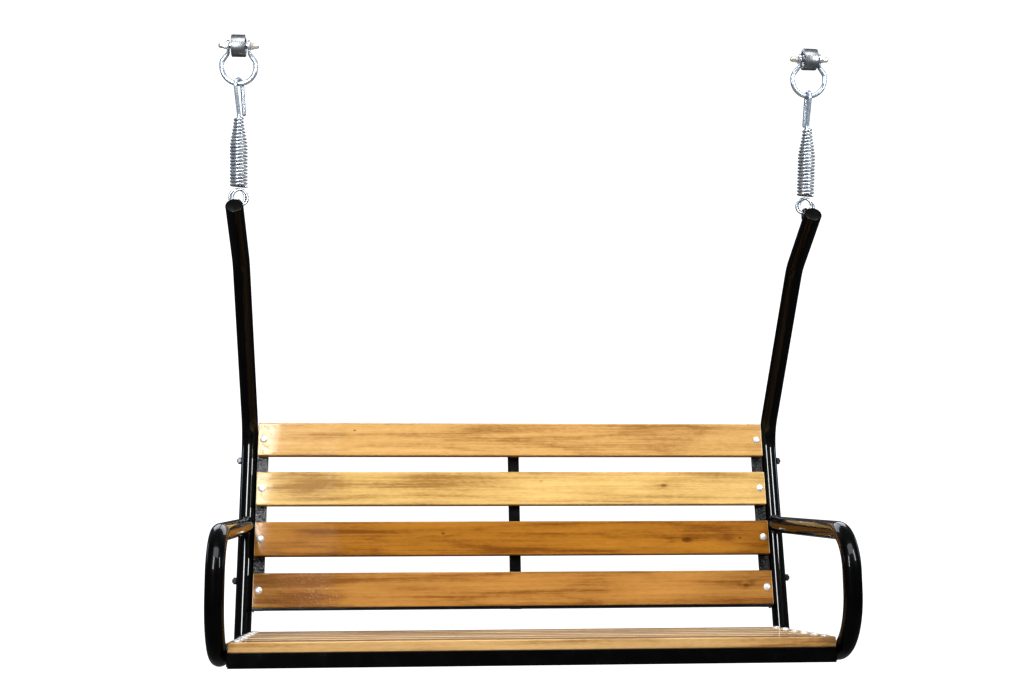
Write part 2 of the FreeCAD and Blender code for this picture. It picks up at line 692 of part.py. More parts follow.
def make_bearings(side, way):
    """Two shielded ball bearings: outer and inner rings, balls and the shields in the outer rings."""
    width = size_of("bearing_width")
    circle_radius = size_of("ball_circle") / 2
    groove_radius = size_of("ball_d") / 2 + 0.12
    middles = (-(2.5 + width / 2), 2.5 + width / 2)
    race_gap = 2.0
    outer_rings, inner_rings, balls, shields = [], [], [], []
    for middle in middles:
        low, high = middle - width / 2, middle + width / 2
        groove = Part.makeTorus(circle_radius, groove_radius, Vector(middle, 0, 0), X_AXIS)
        outer = ring_along_x(size_of("bearing_od") / 2, circle_radius + race_gap, low, high)
        inner = ring_along_x(circle_radius - race_gap, size_of("bearing_bore") / 2, low, high)
        outer_rings.append(outer.cut(groove))
        inner_rings.append(inner.cut(groove))
        for k in range(int(size_of("ball_count"))):
            angle = 2 * math.pi * k / size_of("ball_count")
            spot = Vector(middle, circle_radius * math.cos(angle), circle_radius * math.sin(angle))
            balls.append(Part.makeSphere(size_of("ball_d") / 2, spot))
        face = high - 1.0 if middle > 0 else low + 0.2
        inside = circle_radius - race_gap + 0.3
        shields.append(ring_along_x(circle_radius + race_gap, inside, face, face + 0.8))
    groups = {"outer_rings": outer_rings, "inner_rings": inner_rings, "balls": balls, "shields": shields}
    for name, solids in groups.items():
        here = moved(Part.makeCompound(solids), X_AXIS * way * size_of("hanger_half"))
        keep_shape(here, side + "_bearing_" + name)


def make_pin(side, way):
    """The pin turns in the bearings; its thinner ends pass through the shackle's ears into the cap nuts."""
    name = side + "_pin"
    body_half = size_of("ear_gap") / 2
    end = body_half + size_of("ear_thick") + size_of("cap_nut_high") + 4.0
    barrel = document.addObject("Part::Cylinder", name + "_barrel")
    barrel.setExpression("Radius", "dims.bearing_bore / 2")
    barrel.setExpression("Height", "dims.ear_gap")
    barrel.Placement = Placement(Vector(-body_half, 0, 0), Rotation(Y_AXIS, 90))
    neck = document.addObject("Part::Cylinder", name + "_neck")
    neck.setExpression("Radius", "dims.pin_neck_d / 2")
    neck.Height = 2 * end
    neck.Placement = Placement(Vector(-end, 0, 0), Rotation(Y_AXIS, 90))
    pin = document.addObject("Part::Fuse", name)
    pin.Base = barrel
    pin.Tool = neck
    document.recompute()
    keep(pin, name, Placement(X_AXIS * way * size_of("hanger_half"), NO_TURN))


def make_cap_nuts(side, way):
    """Two domed nuts on the pin's ends."""
    high = size_of("cap_nut_high")
    flats = size_of("cap_nut_flats")
    dome_radius = flats / 2 - 0.6
    straight = size_of("cap_nut_dome") - dome_radius
    dome = Part.makeCylinder(dome_radius, straight, Vector(0, 0, high))
    dome = dome.fuse(Part.makeSphere(dome_radius, Vector(0, 0, high + straight)))
    blank = hex_nut(flats, high, 0.01).fuse(Part.makeCylinder(1, high)).fuse(dome)
    nut = blank.cut(Part.makeCylinder(size_of("pin_neck_d") / 2, high + 4.0))
    face = size_of("ear_gap") / 2 + size_of("ear_thick")
    nuts = []
    for end in (-1, 1):
        seat = X_AXIS * (way * size_of("hanger_half") + end * face)
        nuts.append(moved(nut, seat, Rotation(Z_AXIS, X_AXIS * end)))
    keep_shape(Part.makeCompound(nuts), side + "_cap_nuts")


def make_shackle(side, way):
    """Bow shackle: a round bar bent to a bow below the pin, with a flat eye at each end."""
    ear_x = size_of("ear_gap") / 2 + size_of("ear_thick") / 2
    drop = size_of("bow_drop")
    radius = size_of("bow_radius")
    half = [Vector(ear_x, 0, -5), Vector(ear_x, 0, -14), Vector(radius, 0, -32), Vector(radius, 0, -drop)]
    corners = half + [Vector(-p.x, 0, p.z) for p in reversed(half)]
    bend = radius - 0.01
    bow = rod_along(bent_path(corners, [12, 14, bend, bend, 14, 12]), size_of("bow_rod_d"))
    ear_radius = size_of("ear_d") / 2
    for end in (-1, 1):
        low = end * ear_x - size_of("ear_thick") / 2
        bow = bow.fuse(Part.makeCylinder(ear_radius, size_of("ear_thick"), Vector(low, 0, 0), X_AXIS))
    inside = Part.makeCylinder(ear_radius, size_of("ear_gap"), Vector(-size_of("ear_gap") / 2, 0, 0), X_AXIS)
    bow = bow.cut(inside)
    nut_face = size_of("ear_gap") / 2 + size_of("ear_thick")
    spot_radius = size_of("cap_nut_flats") / math.sqrt(3) + 1.0
    for end in (-1, 1):
        bow = bow.cut(Part.makeCylinder(spot_radius, 20, X_AXIS * end * nut_face, X_AXIS * end))
    hole_radius = size_of("pin_neck_d") / 2 + 0.1
    bow = bow.cut(Part.makeCylinder(hole_radius, 80, Vector(-40, 0, 0), X_AXIS))
    keep_shape(moved(bow, X_AXIS * way * size_of("hanger_half")), side + "_shackle")


def hook_corners():
    """The hook's middle line in its own plane: shank, crown over the bow, and the open rear leg."""
    radius = size_of("hook_radius")
    crown = -size_of("bow_drop") + (size_of("bow_rod_d") + size_of("hook_rod_d")) / 2 + size_of("touch_gap")
    shank_top = -size_of("spring_top") + 5.0
    front_lean = math.asin(radius / (crown - radius - shank_top))
    rear_lean = math.radians(7)
    front = -(crown - shank_top) * math.tan(front_lean)
    rear = radius / math.cos(rear_lean) - radius * math.tan(rear_lean)
    tip = rear + (crown + size_of("hook_tip_drop")) * math.tan(rear_lean)
    return [
        Vector(0, 0, -size_of("hook_shank_end")),
        Vector(0, 0, shank_top),
        Vector(0, front, crown),
        Vector(0, rear, crown),
        Vector(0, tip, -size_of("hook_tip_drop")),
    ]


def make_hook(side, way):
    """Long hook over the bow, whose coned head is held inside the spring's narrow neck."""
    bend = size_of("hook_radius") - 0.02
    rod = rod_along(bent_path(hook_corners(), [30, bend, bend]), size_of("hook_rod_d"))
    head_radius = size_of("hook_rod_d") / 2 + 3.5
    foot = -size_of("hook_shank_end")
    head = Part.makeCone(head_radius, size_of("hook_rod_d") / 2, 12, Vector(0, 0, foot))
    hook = rod.fuse(head).fuse(Part.makeCylinder(head_radius, 3, Vector(0, 0, foot - 3)))
    turn = Rotation(Z_AXIS, way * size_of("hook_%s_turn" % side))
    keep_shape(moved(hook, X_AXIS * way * size_of("hanger_half"), turn), side + "_hook")


def spring_shape():
    """Extension spring: an even coil whose top turns narrow to a neck, each turn drawn as twelve runs."""
    wire = size_of("spring_wire")
    full_radius = (size_of("spring_od") - wire) / 2
    neck_radius = (size_of("spring_neck_od") - wire) / 2
    neck_height = 8.0
    taper = size_of("spring_taper")
    height = size_of("spring_foot") - size_of("spring_top")
    turns = height / size_of("spring_pitch")
    points_per_turn = 12
    count = int(turns * points_per_turn)
    points = []
    for k in range(count + 1):
        climb = height * k / count
        below_top = height - climb
        widening = min(max((below_top - neck_height) / (taper - neck_height), 0.0), 1.0)
        radius = neck_radius + (full_radius - neck_radius) * widening
        angle = 2 * math.pi * turns * k / count
        across = Vector(radius * math.cos(angle), radius * math.sin(angle), 0)
        points.append(across + Z_AXIS * (climb - size_of("spring_foot")))
    path = Part.makePolygon(points)
    section = Part.Wire([Part.Circle(points[0], points[1] - points[0], wire / 2).toShape()])
    mitred_corners = 1
    return path.makePipeShell([section], True, False, mitred_corners)


def loop_shape(way):
    """The spring's double end loop: two turns of the wire side by side, one a little further out."""
    wire = size_of("spring_wire")
    centre_z = -size_of("hang_drop") + size_of("loop_radius")
    apart = wire - 0.5
    shift = size_of("loop_shift") / 2
    loops = []
    for sign in (-1, 1):
        centre = Vector(sign * way * shift, sign * apart / 2, centre_z)
        loops.append(Part.makeTorus(size_of("loop_radius"), wire / 2, centre, Y_AXIS))
    return loops[0].fuse(loops[1])


def make_springs(side, way):
    at_side = X_AXIS * way * size_of("hanger_half")
    keep_shape(moved(spring_shape(), at_side), side + "_spring")
    keep_shape(moved(loop_shape(way), at_side), side + "_spring_loop")


# ---------------------------------------------------------------- the whole swing

make_side_frames()
make_end_caps()
make_eyes()
make_seat_bars()
make_back_bars()
make_slats()
make_slat_bolts()
make_frame_bolts()
make_centre_screws()
for hanger_side, hanger_way in SIDES:
    make_housing(hanger_side, hanger_way)
    make_bearings(hanger_side, hanger_way)
    make_pin(hanger_side, hanger_way)
    make_cap_nuts(hanger_side, hanger_way)
    make_shackle(hanger_side, hanger_way)
    make_hook(hanger_side, hanger_way)
    make_springs(hanger_side, hanger_way)
document.recompute()

for item in document.Objects:
    if "Invalid" in item.State or "Error" in item.State:
        raise RuntimeError("%s failed to rebuild" % item.Name)
for item in sub_parts:
    if item.Shape.isNull() or not item.Shape.isValid() or not item.Shape.Solids:
        raise RuntimeError("%s has no valid solid" % item.Label)

os.makedirs("parts", exist_ok=True)
for item in sub_parts:
    item.Shape.exportStep("parts/%s.step" % item.Label)
    print("%-22s solids %2d  volume %9.0f mm3" % (item.Label, len(item.Shape.Solids), item.Shape.Volume))
print("sub-parts: %d" % len(sub_parts))
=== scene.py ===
"""Looks of the hanging porch swing: glossy black tube frame, varnished slats and bright plated hangers.

Lengths in the shape code are millimetres in the row's frame (X right, Y back, Z up, origin midway between
the two hanger pins). Shape.piece turns them into metres.
"""

import bpy
import json
import math
import random
from mathutils import Matrix, Vector


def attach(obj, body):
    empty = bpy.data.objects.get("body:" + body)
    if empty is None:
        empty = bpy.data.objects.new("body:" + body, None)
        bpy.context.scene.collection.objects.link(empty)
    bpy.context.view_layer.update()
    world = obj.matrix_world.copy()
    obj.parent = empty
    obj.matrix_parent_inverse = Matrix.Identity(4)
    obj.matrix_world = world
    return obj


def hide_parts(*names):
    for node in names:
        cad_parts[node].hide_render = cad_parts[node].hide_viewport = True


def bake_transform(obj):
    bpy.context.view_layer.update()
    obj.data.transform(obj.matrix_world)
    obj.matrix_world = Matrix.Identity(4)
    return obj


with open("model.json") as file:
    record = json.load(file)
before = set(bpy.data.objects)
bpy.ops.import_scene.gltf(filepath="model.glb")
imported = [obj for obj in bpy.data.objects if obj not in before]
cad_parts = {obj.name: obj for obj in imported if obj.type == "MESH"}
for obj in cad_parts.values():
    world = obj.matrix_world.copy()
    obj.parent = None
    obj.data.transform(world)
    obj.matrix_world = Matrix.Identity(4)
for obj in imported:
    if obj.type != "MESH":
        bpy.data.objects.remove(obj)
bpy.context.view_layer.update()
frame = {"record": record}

MM = 0.001
SIDES = (("left", -1), ("right", 1))

# the bench and how it hangs, in millimetres
FRAME_HALF = 592.0
HANGER_HALF = 588.0
TUBE_R = 18.0
TILT = math.radians(12.9)
LEAN = math.radians(9.0)
HANG_DROP = 320.5
EYE_Y, EYE_Z = 151.0, 864.0
BACK_FOOT = 462.8
SLAT_LENGTH = 1143.0
SLAT_THICK = 20.0
SEAT_WIDTH = 62.0
SEAT_CENTRES = [31.0 + 70.0 * k for k in range(6)]
BACK_WIDTH = 75.0
BACK_CENTRES = [82.0 + 112.0 * k for k in range(4)]
SLAT_BACK = 9.5
BACK_BAR_LENGTH = 413.5
BACK_BAR_MIDDLE = 40.5 + BACK_BAR_LENGTH / 2
BOLT_FROM_END = 12.7
BOLT_X = SLAT_LENGTH / 2 - BOLT_FROM_END
SEAT_BAR_LENGTH = 404.0
SEAT_BAR_MIDDLE = SEAT_BAR_LENGTH / 2 + 4.0
TUBE_INNER_X = FRAME_HALF - TUBE_R
ARM_LOW_Z = -30.0
FRAME_BOLTS_UP_BACK = (107.0, 375.0)
FRAME_BOLTS_UNDER_SEAT = (110.0, 330.0)
EYE_BAR_R = 4.0
EYE_INNER_R = 8.3
EYE_BEAD_R = 5.4
BEAD_STEPS = 48
WELD_STEPS = 120

# the hangers, in millimetres, and the hooks' turn about the vertical in degrees
BOW_BAR_R = 5.0
BOW_HALF = 34.0
BOW_DROP = 76.0
EAR_INNER = 18.2
EAR_THICK = 5.5
HOOK_BAR_R = 4.0
HOOK_CROWN_R = 12.0
HOOK_SHANK_TOP = -138.0
HOOK_SWIVEL = {"left": 28.0, "right": 4.0}
WIRE_R = 2.75
SPRING_TOP = -143.0
SPRING_FOOT = -283.2

# places in metres, and the share of the coat lost past a paint's dull line
BOARD_MIDPLANE = 0.010
# the pale cream painted on the boards' eased ends, a painted highlight, starts this far out along X
END_GLINT_X = 0.5704
FLOOR_Z = -1.60
COAT_LOST = 0.70

X_AXIS, Y_AXIS, Z_AXIS = Vector((1, 0, 0)), Vector((0, 1, 0)), Vector((0, 0, 1))
BENCH = Matrix.Translation((0, 0, -HANG_DROP)) @ Matrix.Rotation(-TILT, 4, "X")


def on_bench(x, y, z):
    """A point measured from the seat's front top edge, in the bench's own frame."""
    return Vector((x, y - EYE_Y, z - EYE_Z))


def on_back(x, along, forward):
    """A point up the backrest from the tubes' line at seat height, and forward of that line."""
    y = BACK_FOOT + along * math.sin(LEAN) - forward * math.cos(LEAN)
    z = along * math.cos(LEAN) + forward * math.sin(LEAN)
    return on_bench(x, y, z)


BACK_TURN = Matrix.Rotation(-LEAN, 4, "X")


def at(point):
    return Matrix.Translation(point)


def towards(direction):
    """A rotation that takes +Z to the direction."""
    return Vector(direction).to_track_quat("Z", "Y").to_matrix().to_4x4()


# ---------------------------------------------------------------- mesh building

class Shape:
    """Gathers vertices and faces, each face with a material number, and turns them into one piece."""

    def __init__(self):
        self.verts = []
        self.faces = []
        self.numbers = []

    def add(self, part, matrix=Matrix(), number=0):
        verts, faces = part
        base = len(self.verts)
        self.verts += [matrix @ Vector(v) for v in verts]
        self.faces += [tuple(i + base for i in face) for face in faces]
        self.numbers += [number] * len(faces)
        return self

    def piece(self, name, body, materials, nodes=(), slot=None, place=Matrix(), sharp=32):
        mesh = bpy.data.meshes.new(name)
        mesh.from_pydata([v * MM for v in self.verts], [], self.faces)
        mesh.validate()
        for material in materials:
            mesh.materials.append(material)
        mesh.polygons.foreach_set("material_index", self.numbers)
        mesh.polygons.foreach_set("use_smooth", [True] * len(mesh.polygons))
        mesh.set_sharp_from_angle(angle=math.radians(sharp))
        mesh.update()
        obj = bpy.data.objects.new(name, mesh)
        bpy.context.scene.collection.objects.link(obj)
        metres = place.copy()
        metres.translation = place.translation * MM
        obj.matrix_world = metres
        if body:
            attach(obj, body)
        if nodes:
            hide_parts(*nodes)
        return obj


def bent(corners, radii, arc_step=3.0, run_step=45.0):
    """Points along straight runs through the corners, with each inner corner rounded."""
    points = []
    start = corners[0]

    def run(a, b):
        count = max(1, round((b - a).length / run_step))
        points.extend(a.lerp(b, k / count) for k in range(count))

    for k in range(1, len(corners) - 1):
        arrive = (corners[k] - corners[k - 1]).normalized()
        leave = (corners[k + 1] - corners[k]).normalized()
        turn = arrive.angle(leave)
        reach = radii[k - 1] * math.tan(turn / 2)
        arc_start = corners[k] - arrive * reach
        if (arc_start - start).length > 0.05:
            run(start, arc_start)
        centre = corners[k] + (leave - arrive).normalized() * (radii[k - 1] / math.cos(turn / 2))
        axis = arrive.cross(leave).normalized()
        count = max(4, round(math.degrees(turn) / arc_step))
        for step in range(count):
            spin = Matrix.Rotation(turn * step / count, 3, axis)
            points.append(centre + spin @ (arc_start - centre))
        start = corners[k] + leave * reach
    if (corners[-1] - start).length > 0.05:
        run(start, corners[-1])
    points.append(corners[-1])
    return points


def sweep(points, radius, sides=48, ends=("flat", "flat"), closed=False, across=None, chamfer=0.5):
    """A round section carried along the points with no twist. radius is a number, or a function of the
    share of the length, giving one radius or a pair. Ends are flat or open, and the far one may be round."""
    count = len(points)
    lengths = [0.0]
    for k in range(1, count):
        lengths.append(lengths[-1] + (points[k] - points[k - 1]).length)
    tangents = []
    for k in range(count):
        before = points[k - 1] if k or closed else points[0]
        after = points[(k + 1) % count] if k < count - 1 or closed else points[-1]
        tangents.append((after - before).normalized())
    side = across or tangents[0].orthogonal()
    side = (side - tangents[0] * side.dot(tangents[0])).normalized()
    verts, rings = [], []

    def ring(centre, u, v, ru, rv):
        rings.append(len(verts))
        for j in range(sides):
            angle = 2 * math.pi * j / sides
            verts.append(centre + u * (ru * math.cos(angle)) + v * (rv * math.sin(angle)))

    frames = []
    for k in range(count):
        if k:
            side = tangents[k - 1].rotation_difference(tangents[k]) @ side
            side = (side - tangents[k] * side.dot(tangents[k])).normalized()
        size = radius(lengths[k] / lengths[-1]) if callable(radius) else radius
        ru, rv = size if isinstance(size, tuple) else (size, size)
        frames.append((points[k], side.copy(), tangents[k].cross(side), ru, rv, tangents[k]))
    if not closed and ends[0] == "flat":
        centre, u, v, ru, rv, along = frames[0]
        ring(centre, u, v, ru - chamfer, rv - chamfer)
        frames[0] = (centre + along * chamfer, u, v, ru, rv, along)
    if not closed and ends[1] == "flat":
        centre, u, v, ru, rv, along = frames[-1]
        frames[-1] = (centre - along * chamfer, u, v, ru, rv, along)
    for centre, u, v, ru, rv, along in frames:
        ring(centre, u, v, ru, rv)
    centre, u, v, ru, rv, along = frames[-1]
    if not closed and ends[1] == "round":
        for step in range(1, 7):
            lift = math.pi / 2 * step / 7
            ring(centre + along * ru * math.sin(lift), u, v, ru * math.cos(lift), rv * math.cos(lift))
    if not closed and ends[1] == "flat":
        ring(points[-1], u, v, ru - chamfer, rv - chamfer)
    faces = []
    pairs = list(zip(rings, rings[1:]))
    if closed:
        pairs.append((rings[-1], rings[0]))
    for a, b in pairs:
        for j in range(sides):
            n = (j + 1) % sides
            faces.append((a + j, a + n, b + n, b + j))
    if not closed:
        for end, where, order in ((0, rings[0], -1), (1, rings[-1], 1)):
            if ends[end] == "open":
                continue
            middle = sum((verts[where + j] for j in range(sides)), Vector()) / sides
            if ends[end] == "round":
                middle = centre + along * ru
            verts.append(middle)
            tip = len(verts) - 1
            for j in range(sides):
                n = (j + 1) % sides
                faces.append((where + j, where + n, tip)[::order])
    return verts, faces


def lathe(profile, segments=64, shape_of=None):
    """Turns (radius, height) points about Z. A radius of 0 closes the form. shape_of(angle, radius, height)
    may change a radius with the angle."""
    verts, rows = [], []
    for radius, height in profile:
        if radius < 1e-6:
            rows.append([len(verts)] * segments)
            verts.append(Vector((0, 0, height)))
            continue
        row = []
        for j in range(segments):
            angle = 2 * math.pi * j / segments
            r = shape_of(angle, radius, height) if shape_of else radius
            row.append(len(verts))
            verts.append(Vector((r * math.cos(angle), r * math.sin(angle), height)))
        rows.append(row)
    faces = []
    for low, high in zip(rows, rows[1:]):
        for j in range(segments):
            n = (j + 1) % segments
            face = [low[j], low[n], high[n], high[j]]
            kept = [v for i, v in enumerate(face) if v not in face[:i]]
            if len(kept) > 2:
                faces.append(tuple(kept))
    return verts, faces


def hexagon(flats):
    """A lathe shape_of that trims a round profile to a hexagon's flats."""
    def shape_of(angle, radius, height):
        sector = math.pi / 3
        off = (angle + sector / 2) % sector - sector / 2
        return min(radius, flats / 2 / math.cos(off))
    return shape_of


def hex_profile(flats, high, bore=0.0):
    """The round profile of a nut with turned-off corners."""
    corner = flats / math.sqrt(3)
    cut = flats * 0.075
    rise = cut * 0.62
    outline = [(bore, 0.0), (corner - cut, 0.0)]
    outline += [(corner - cut * (1 - k / 5), rise * k / 5) for k in range(1, 6)]
    outline += [(corner, high / 2)]
    outline += [(corner - cut * k / 5, high - rise * (1 - k / 5)) for k in range(6)]
    outline += [(bore, high)]
    return outline


def thread(radius, length, pitch, sides=32, dome=0.4):
    """A screw end with rounded threads, rising from 0 to length."""
    rows = []
    steps = max(2, round(length / pitch * 6))
    for k in range(steps + 1):
        z = length * k / steps
        groove = 0.5 - 0.5 * math.cos(2 * math.pi * z / pitch)
        rows.append((radius - 0.05 * pitch - 0.28 * pitch * groove, z))
    rows += [(radius * 0.8, length + dome * 0.6), (0, length + dome)]
    return lathe(rows, sides)


def fine(base, amount, scale, seed):
    """A small smooth wobble."""
    return amount * (math.sin(base * scale + seed) + 0.5 * math.sin(base * scale * 2.7 + seed * 3.1))


# ---------------------------------------------------------------- materials

class Look:
    """A material's node tree, built from short calls."""

    def __init__(self, name):
        self.material = bpy.data.materials.new(name)
        self.material.use_nodes = True
        self.tree = self.material.node_tree
        self.shader = self.tree.nodes["Principled BSDF"]
        self.coords = self.tree.nodes.new("ShaderNodeTexCoord").outputs["Object"]

    def set(self, **values):
        for name, value in values.items():
            self.shader.inputs[name.replace("_", " ").title().replace("Ior", "IOR")].default_value = value
        return self

    def node(self, kind, inputs=None, **settings):
        made = self.tree.nodes.new("ShaderNode" + kind)
        for name, value in settings.items():
            setattr(made, name, value)
        for name, value in (inputs or {}).items():
            if isinstance(value, bpy.types.NodeSocket):
                self.tree.links.new(value, made.inputs[name])
            else:
                made.inputs[name].default_value = value
        return made

    def link(self, output, name):
        self.tree.links.new(output, self.shader.inputs[name])

    def mapped(self, scale=(1, 1, 1), location=(0, 0, 0), source=None):
        made = self.node("Mapping", {"Vector": source or self.coords, "Scale": scale, "Location": location})
        return made.outputs[0]

    def noise(self, scale, detail=3.0, vector=None, rough=0.5, distort=0.0):
        inputs = {"Scale": scale, "Detail": detail, "Vector": vector or self.coords,
                  "Roughness": rough, "Distortion": distort}
        return self.node("TexNoise", inputs).outputs["Fac"]

    def distance(self, place, scale):
        """The distance from a place in object coordinates, with each axis scaled."""
        reach = self.node("VectorMath", {0: self.coords, 1: place}, operation="SUBTRACT")
        scaled = self.node("VectorMath", {0: reach.outputs[0], 1: scale}, operation="MULTIPLY")
        return self.node("VectorMath", {0: scaled.outputs[0]}, operation="LENGTH").outputs["Value"]

    def ramp(self, fac, stops):
        made = self.node("ValToRGB", {"Fac": fac})
        elements = made.color_ramp.elements
        while len(elements) < len(stops):
            elements.new(0.5)
        for element, (position, colour) in zip(elements, stops):
            element.position = position
            shade = colour if isinstance(colour, (tuple, list)) else (colour, colour, colour)
            element.color = (*shade, 1.0)
        return made.outputs["Color"]

    def math(self, operation, a, b=0.0, c=0.0, clamp=False):
        made = self.node("Math", operation=operation, use_clamp=clamp)
        for number, value in enumerate((a, b, c)):
            if isinstance(value, bpy.types.NodeSocket):
                self.tree.links.new(value, made.inputs[number])
            else:
                made.inputs[number].default_value = value
        return made.outputs[0]

    def mix(self, fac, a, b, blend="MIX"):
        made = self.node("MixRGB", blend_type=blend)
        for name, value in (("Fac", fac), ("Color1", a), ("Color2", b)):
            if isinstance(value, bpy.types.NodeSocket):
                self.tree.links.new(value, made.inputs[name])
            elif isinstance(value, (tuple, list)):
                made.inputs[name].default_value = (*value, 1.0)
            else:
                made.inputs[name].default_value = value
        return made.outputs[0]

    def bump(self, height, strength, distance, normal=None):
        inputs = {"Height": height, "Strength": strength, "Distance": distance}
        if normal:
            inputs["Normal"] = normal
        return self.node("Bump", inputs).outputs["Normal"]


def wood(name, mid, seed, ring_gap=11.0, contrast=0.30, knots=(), clouds_and_shade=(), fine_grain=0.95, patches=1.5,
         droplets=0.85):
    """Varnished board with long soft grain. Knots are (x, y, size) and dark clouds (x, y, long, high, depth),
    in mm on the board's face; the clouds are darker wood, save one used as painted shade on the lowest back
    slat. The eased ends get a painted highlight in pale cream. droplets is how strongly fine beads stand on
    the board's left end."""
    look = Look(name)
    rng = random.Random(seed)
    dark = (mid[0] * 0.58, mid[1] * 0.48, mid[2] * 0.38)
    light = (min(mid[0] * 1.28, 0.92), min(mid[1] * 1.34, 0.86), mid[2] * 1.50)
    shift = (rng.uniform(-3, 3), rng.uniform(-0.1, 0.1), rng.uniform(-0.1, 0.1))
    base = look.mapped(location=shift)

    def grained(along, across, detail, rough, location=(0, 0, 0)):
        """Noise drawn out along the board."""
        return look.noise(1.0, detail, look.mapped((along, across, across), location, base), rough)

    wander = grained(1.8, 14.0, 2.0, 0.45)
    ripple = grained(9.0, 60.0, 3.0, 0.55)
    split = look.node("SeparateXYZ", {"Vector": look.coords})
    across = look.math("SUBTRACT", split.outputs["Y"], rng.uniform(-0.03, 0.03))
    deep = look.math("SUBTRACT", split.outputs["Z"], rng.uniform(-0.11, -0.06))
    radius = look.math("SQRT", look.math("ADD", look.math("MULTIPLY", across, across),
                                         look.math("MULTIPLY", deep, deep)))
    radius = look.math("ADD", radius, look.math("MULTIPLY", wander, 0.055))
    radius = look.math("ADD", radius, look.math("MULTIPLY", ripple, 0.0045))
    knot_mask = None
    for x, y, size in knots:
        far = look.distance((x * MM, y * MM, BOARD_MIDPLANE), (0.50, 1.0, 0.35))
        pull = look.math("DIVIDE", size * MM, look.math("ADD", far, size * MM))
        radius = look.math("ADD", radius, look.math("MULTIPLY", look.math("POWER", pull, 2.2), 0.026))
        near = look.math("SUBTRACT", 1.0, look.math("DIVIDE", far, size * MM * 0.9), clamp=True)
        knot_mask = near if knot_mask is None else look.math("MAXIMUM", knot_mask, near)
    phase = look.math("FRACT", look.math("MULTIPLY", radius, 1000.0 / ring_gap))
    rings = look.ramp(phase, [(0.0, 0.35), (0.16, 0.85), (0.45, 1.0), (0.74, 0.70), (0.94, 0.10),
                              (1.0, 0.35)])
    fibre = grained(9.0, 620.0, 4.0, 0.62)
    streak = grained(2.2, 100.0, 3.0, 0.6)
    grain = grained(3.2, 230.0, 4.0, 0.65, (1.3, 0.4, 2.2))
    band = grained(1.5, 30.0, 2.0, 0.5, (4.1, 2.3, 0.7))
    tone = look.math("MULTIPLY", rings, contrast)
    patch = grained(3.4, 13.0, 3.0, 0.5, (2.7, 1.9, 0.3))
    fleck = grained(70.0, 240.0, 3.0, 0.6, (0.6, 3.1, 1.7))
    for part, share in ((streak, fine_grain), (grain, fine_grain), (band, 0.9), (fibre, 0.45),
                        (patch, patches), (fleck, 0.55)):
        tone = look.math("ADD", tone, look.math("MULTIPLY", look.math("SUBTRACT", part, 0.5), share))
    tone = look.math("ADD", tone, 0.44 - contrast * 0.68)
    # each cloud darkens the tone over a soft oval: darker wood, and at the lowest back slat's right end
    # painted shade
    for x, y, long_way, high, depth in clouds_and_shade:
        far = look.distance((x * MM, y * MM, BOARD_MIDPLANE), (1000.0 / long_way, 1000.0 / high, 0.0))
        blurred = look.math("ADD", far, look.math("MULTIPLY", look.math("SUBTRACT", band, 0.5), 1.6))
        shade = look.math("SUBTRACT", 1.0, blurred, clamp=True)
        tone = look.math("SUBTRACT", tone, look.math("MULTIPLY", shade, depth))
    colour = look.ramp(tone, [(0.02, dark), (0.42, mid), (0.92, light)])
    pores = grained(36.0, 1300.0, 2.0, 0.5)
    pore_mask = look.ramp(pores, [(0.64, 0.0), (0.72, 0.42)])
    colour = look.mix(pore_mask, colour, tuple(c * 0.60 for c in dark))
    if knot_mask is not None:
        heart = look.math("MULTIPLY", knot_mask, look.math("ADD", look.noise(300.0, 3.0), 0.8), clamp=True)
        colour = look.mix(look.ramp(heart, [(0.10, 0.0), (0.70, 0.70)]), colour,
                          (dark[0] * 0.42, dark[1] * 0.26, dark[2] * 0.20))
    # pale cream painted over the eased board ends: a painted highlight where the rounded end edges catch
    # light
    end_glint = look.math("GREATER_THAN", look.math("ABSOLUTE", split.outputs["X"]), END_GLINT_X)
    colour = look.mix(look.math("MULTIPLY", end_glint, 0.75), colour, (0.82, 0.70, 0.48))
    look.link(colour, "Base Color")
    satin = grained(5.0, 90.0, 3.0, 0.6)
    look.link(look.ramp(satin, [(0.3, 0.34), (0.75, 0.50)]), "Roughness")
    relief = look.bump(fibre, 0.12, 0.0005)
    ring_relief = look.math("SUBTRACT", rings, look.math("MULTIPLY", pore_mask, 0.8))
    look.link(look.bump(ring_relief, 0.06, 0.0005, relief), "Normal")
    brushed = grained(9.0, 140.0, 2.0, 0.5)
    drops = look.noise(300.0, 1.5, look.mapped((0.8, 1.0, 1.0), source=base), 0.5)
    ends = look.ramp(look.math("MULTIPLY", split.outputs["X"], -1.0), [(0.37, 0.0), (0.54, 1.0)])
    pimples = look.math("MULTIPLY", look.ramp(drops, [(0.56, 0.0), (0.68, 1.0)]), ends)
    coat_relief = look.bump(brushed, 0.05, 0.0006)
    look.link(look.bump(pimples, droplets, 0.0008, coat_relief), "Coat Normal")
    return look.set(coat_weight=0.8, coat_roughness=0.06, coat_ior=1.45, specular_ior_level=0.04).material


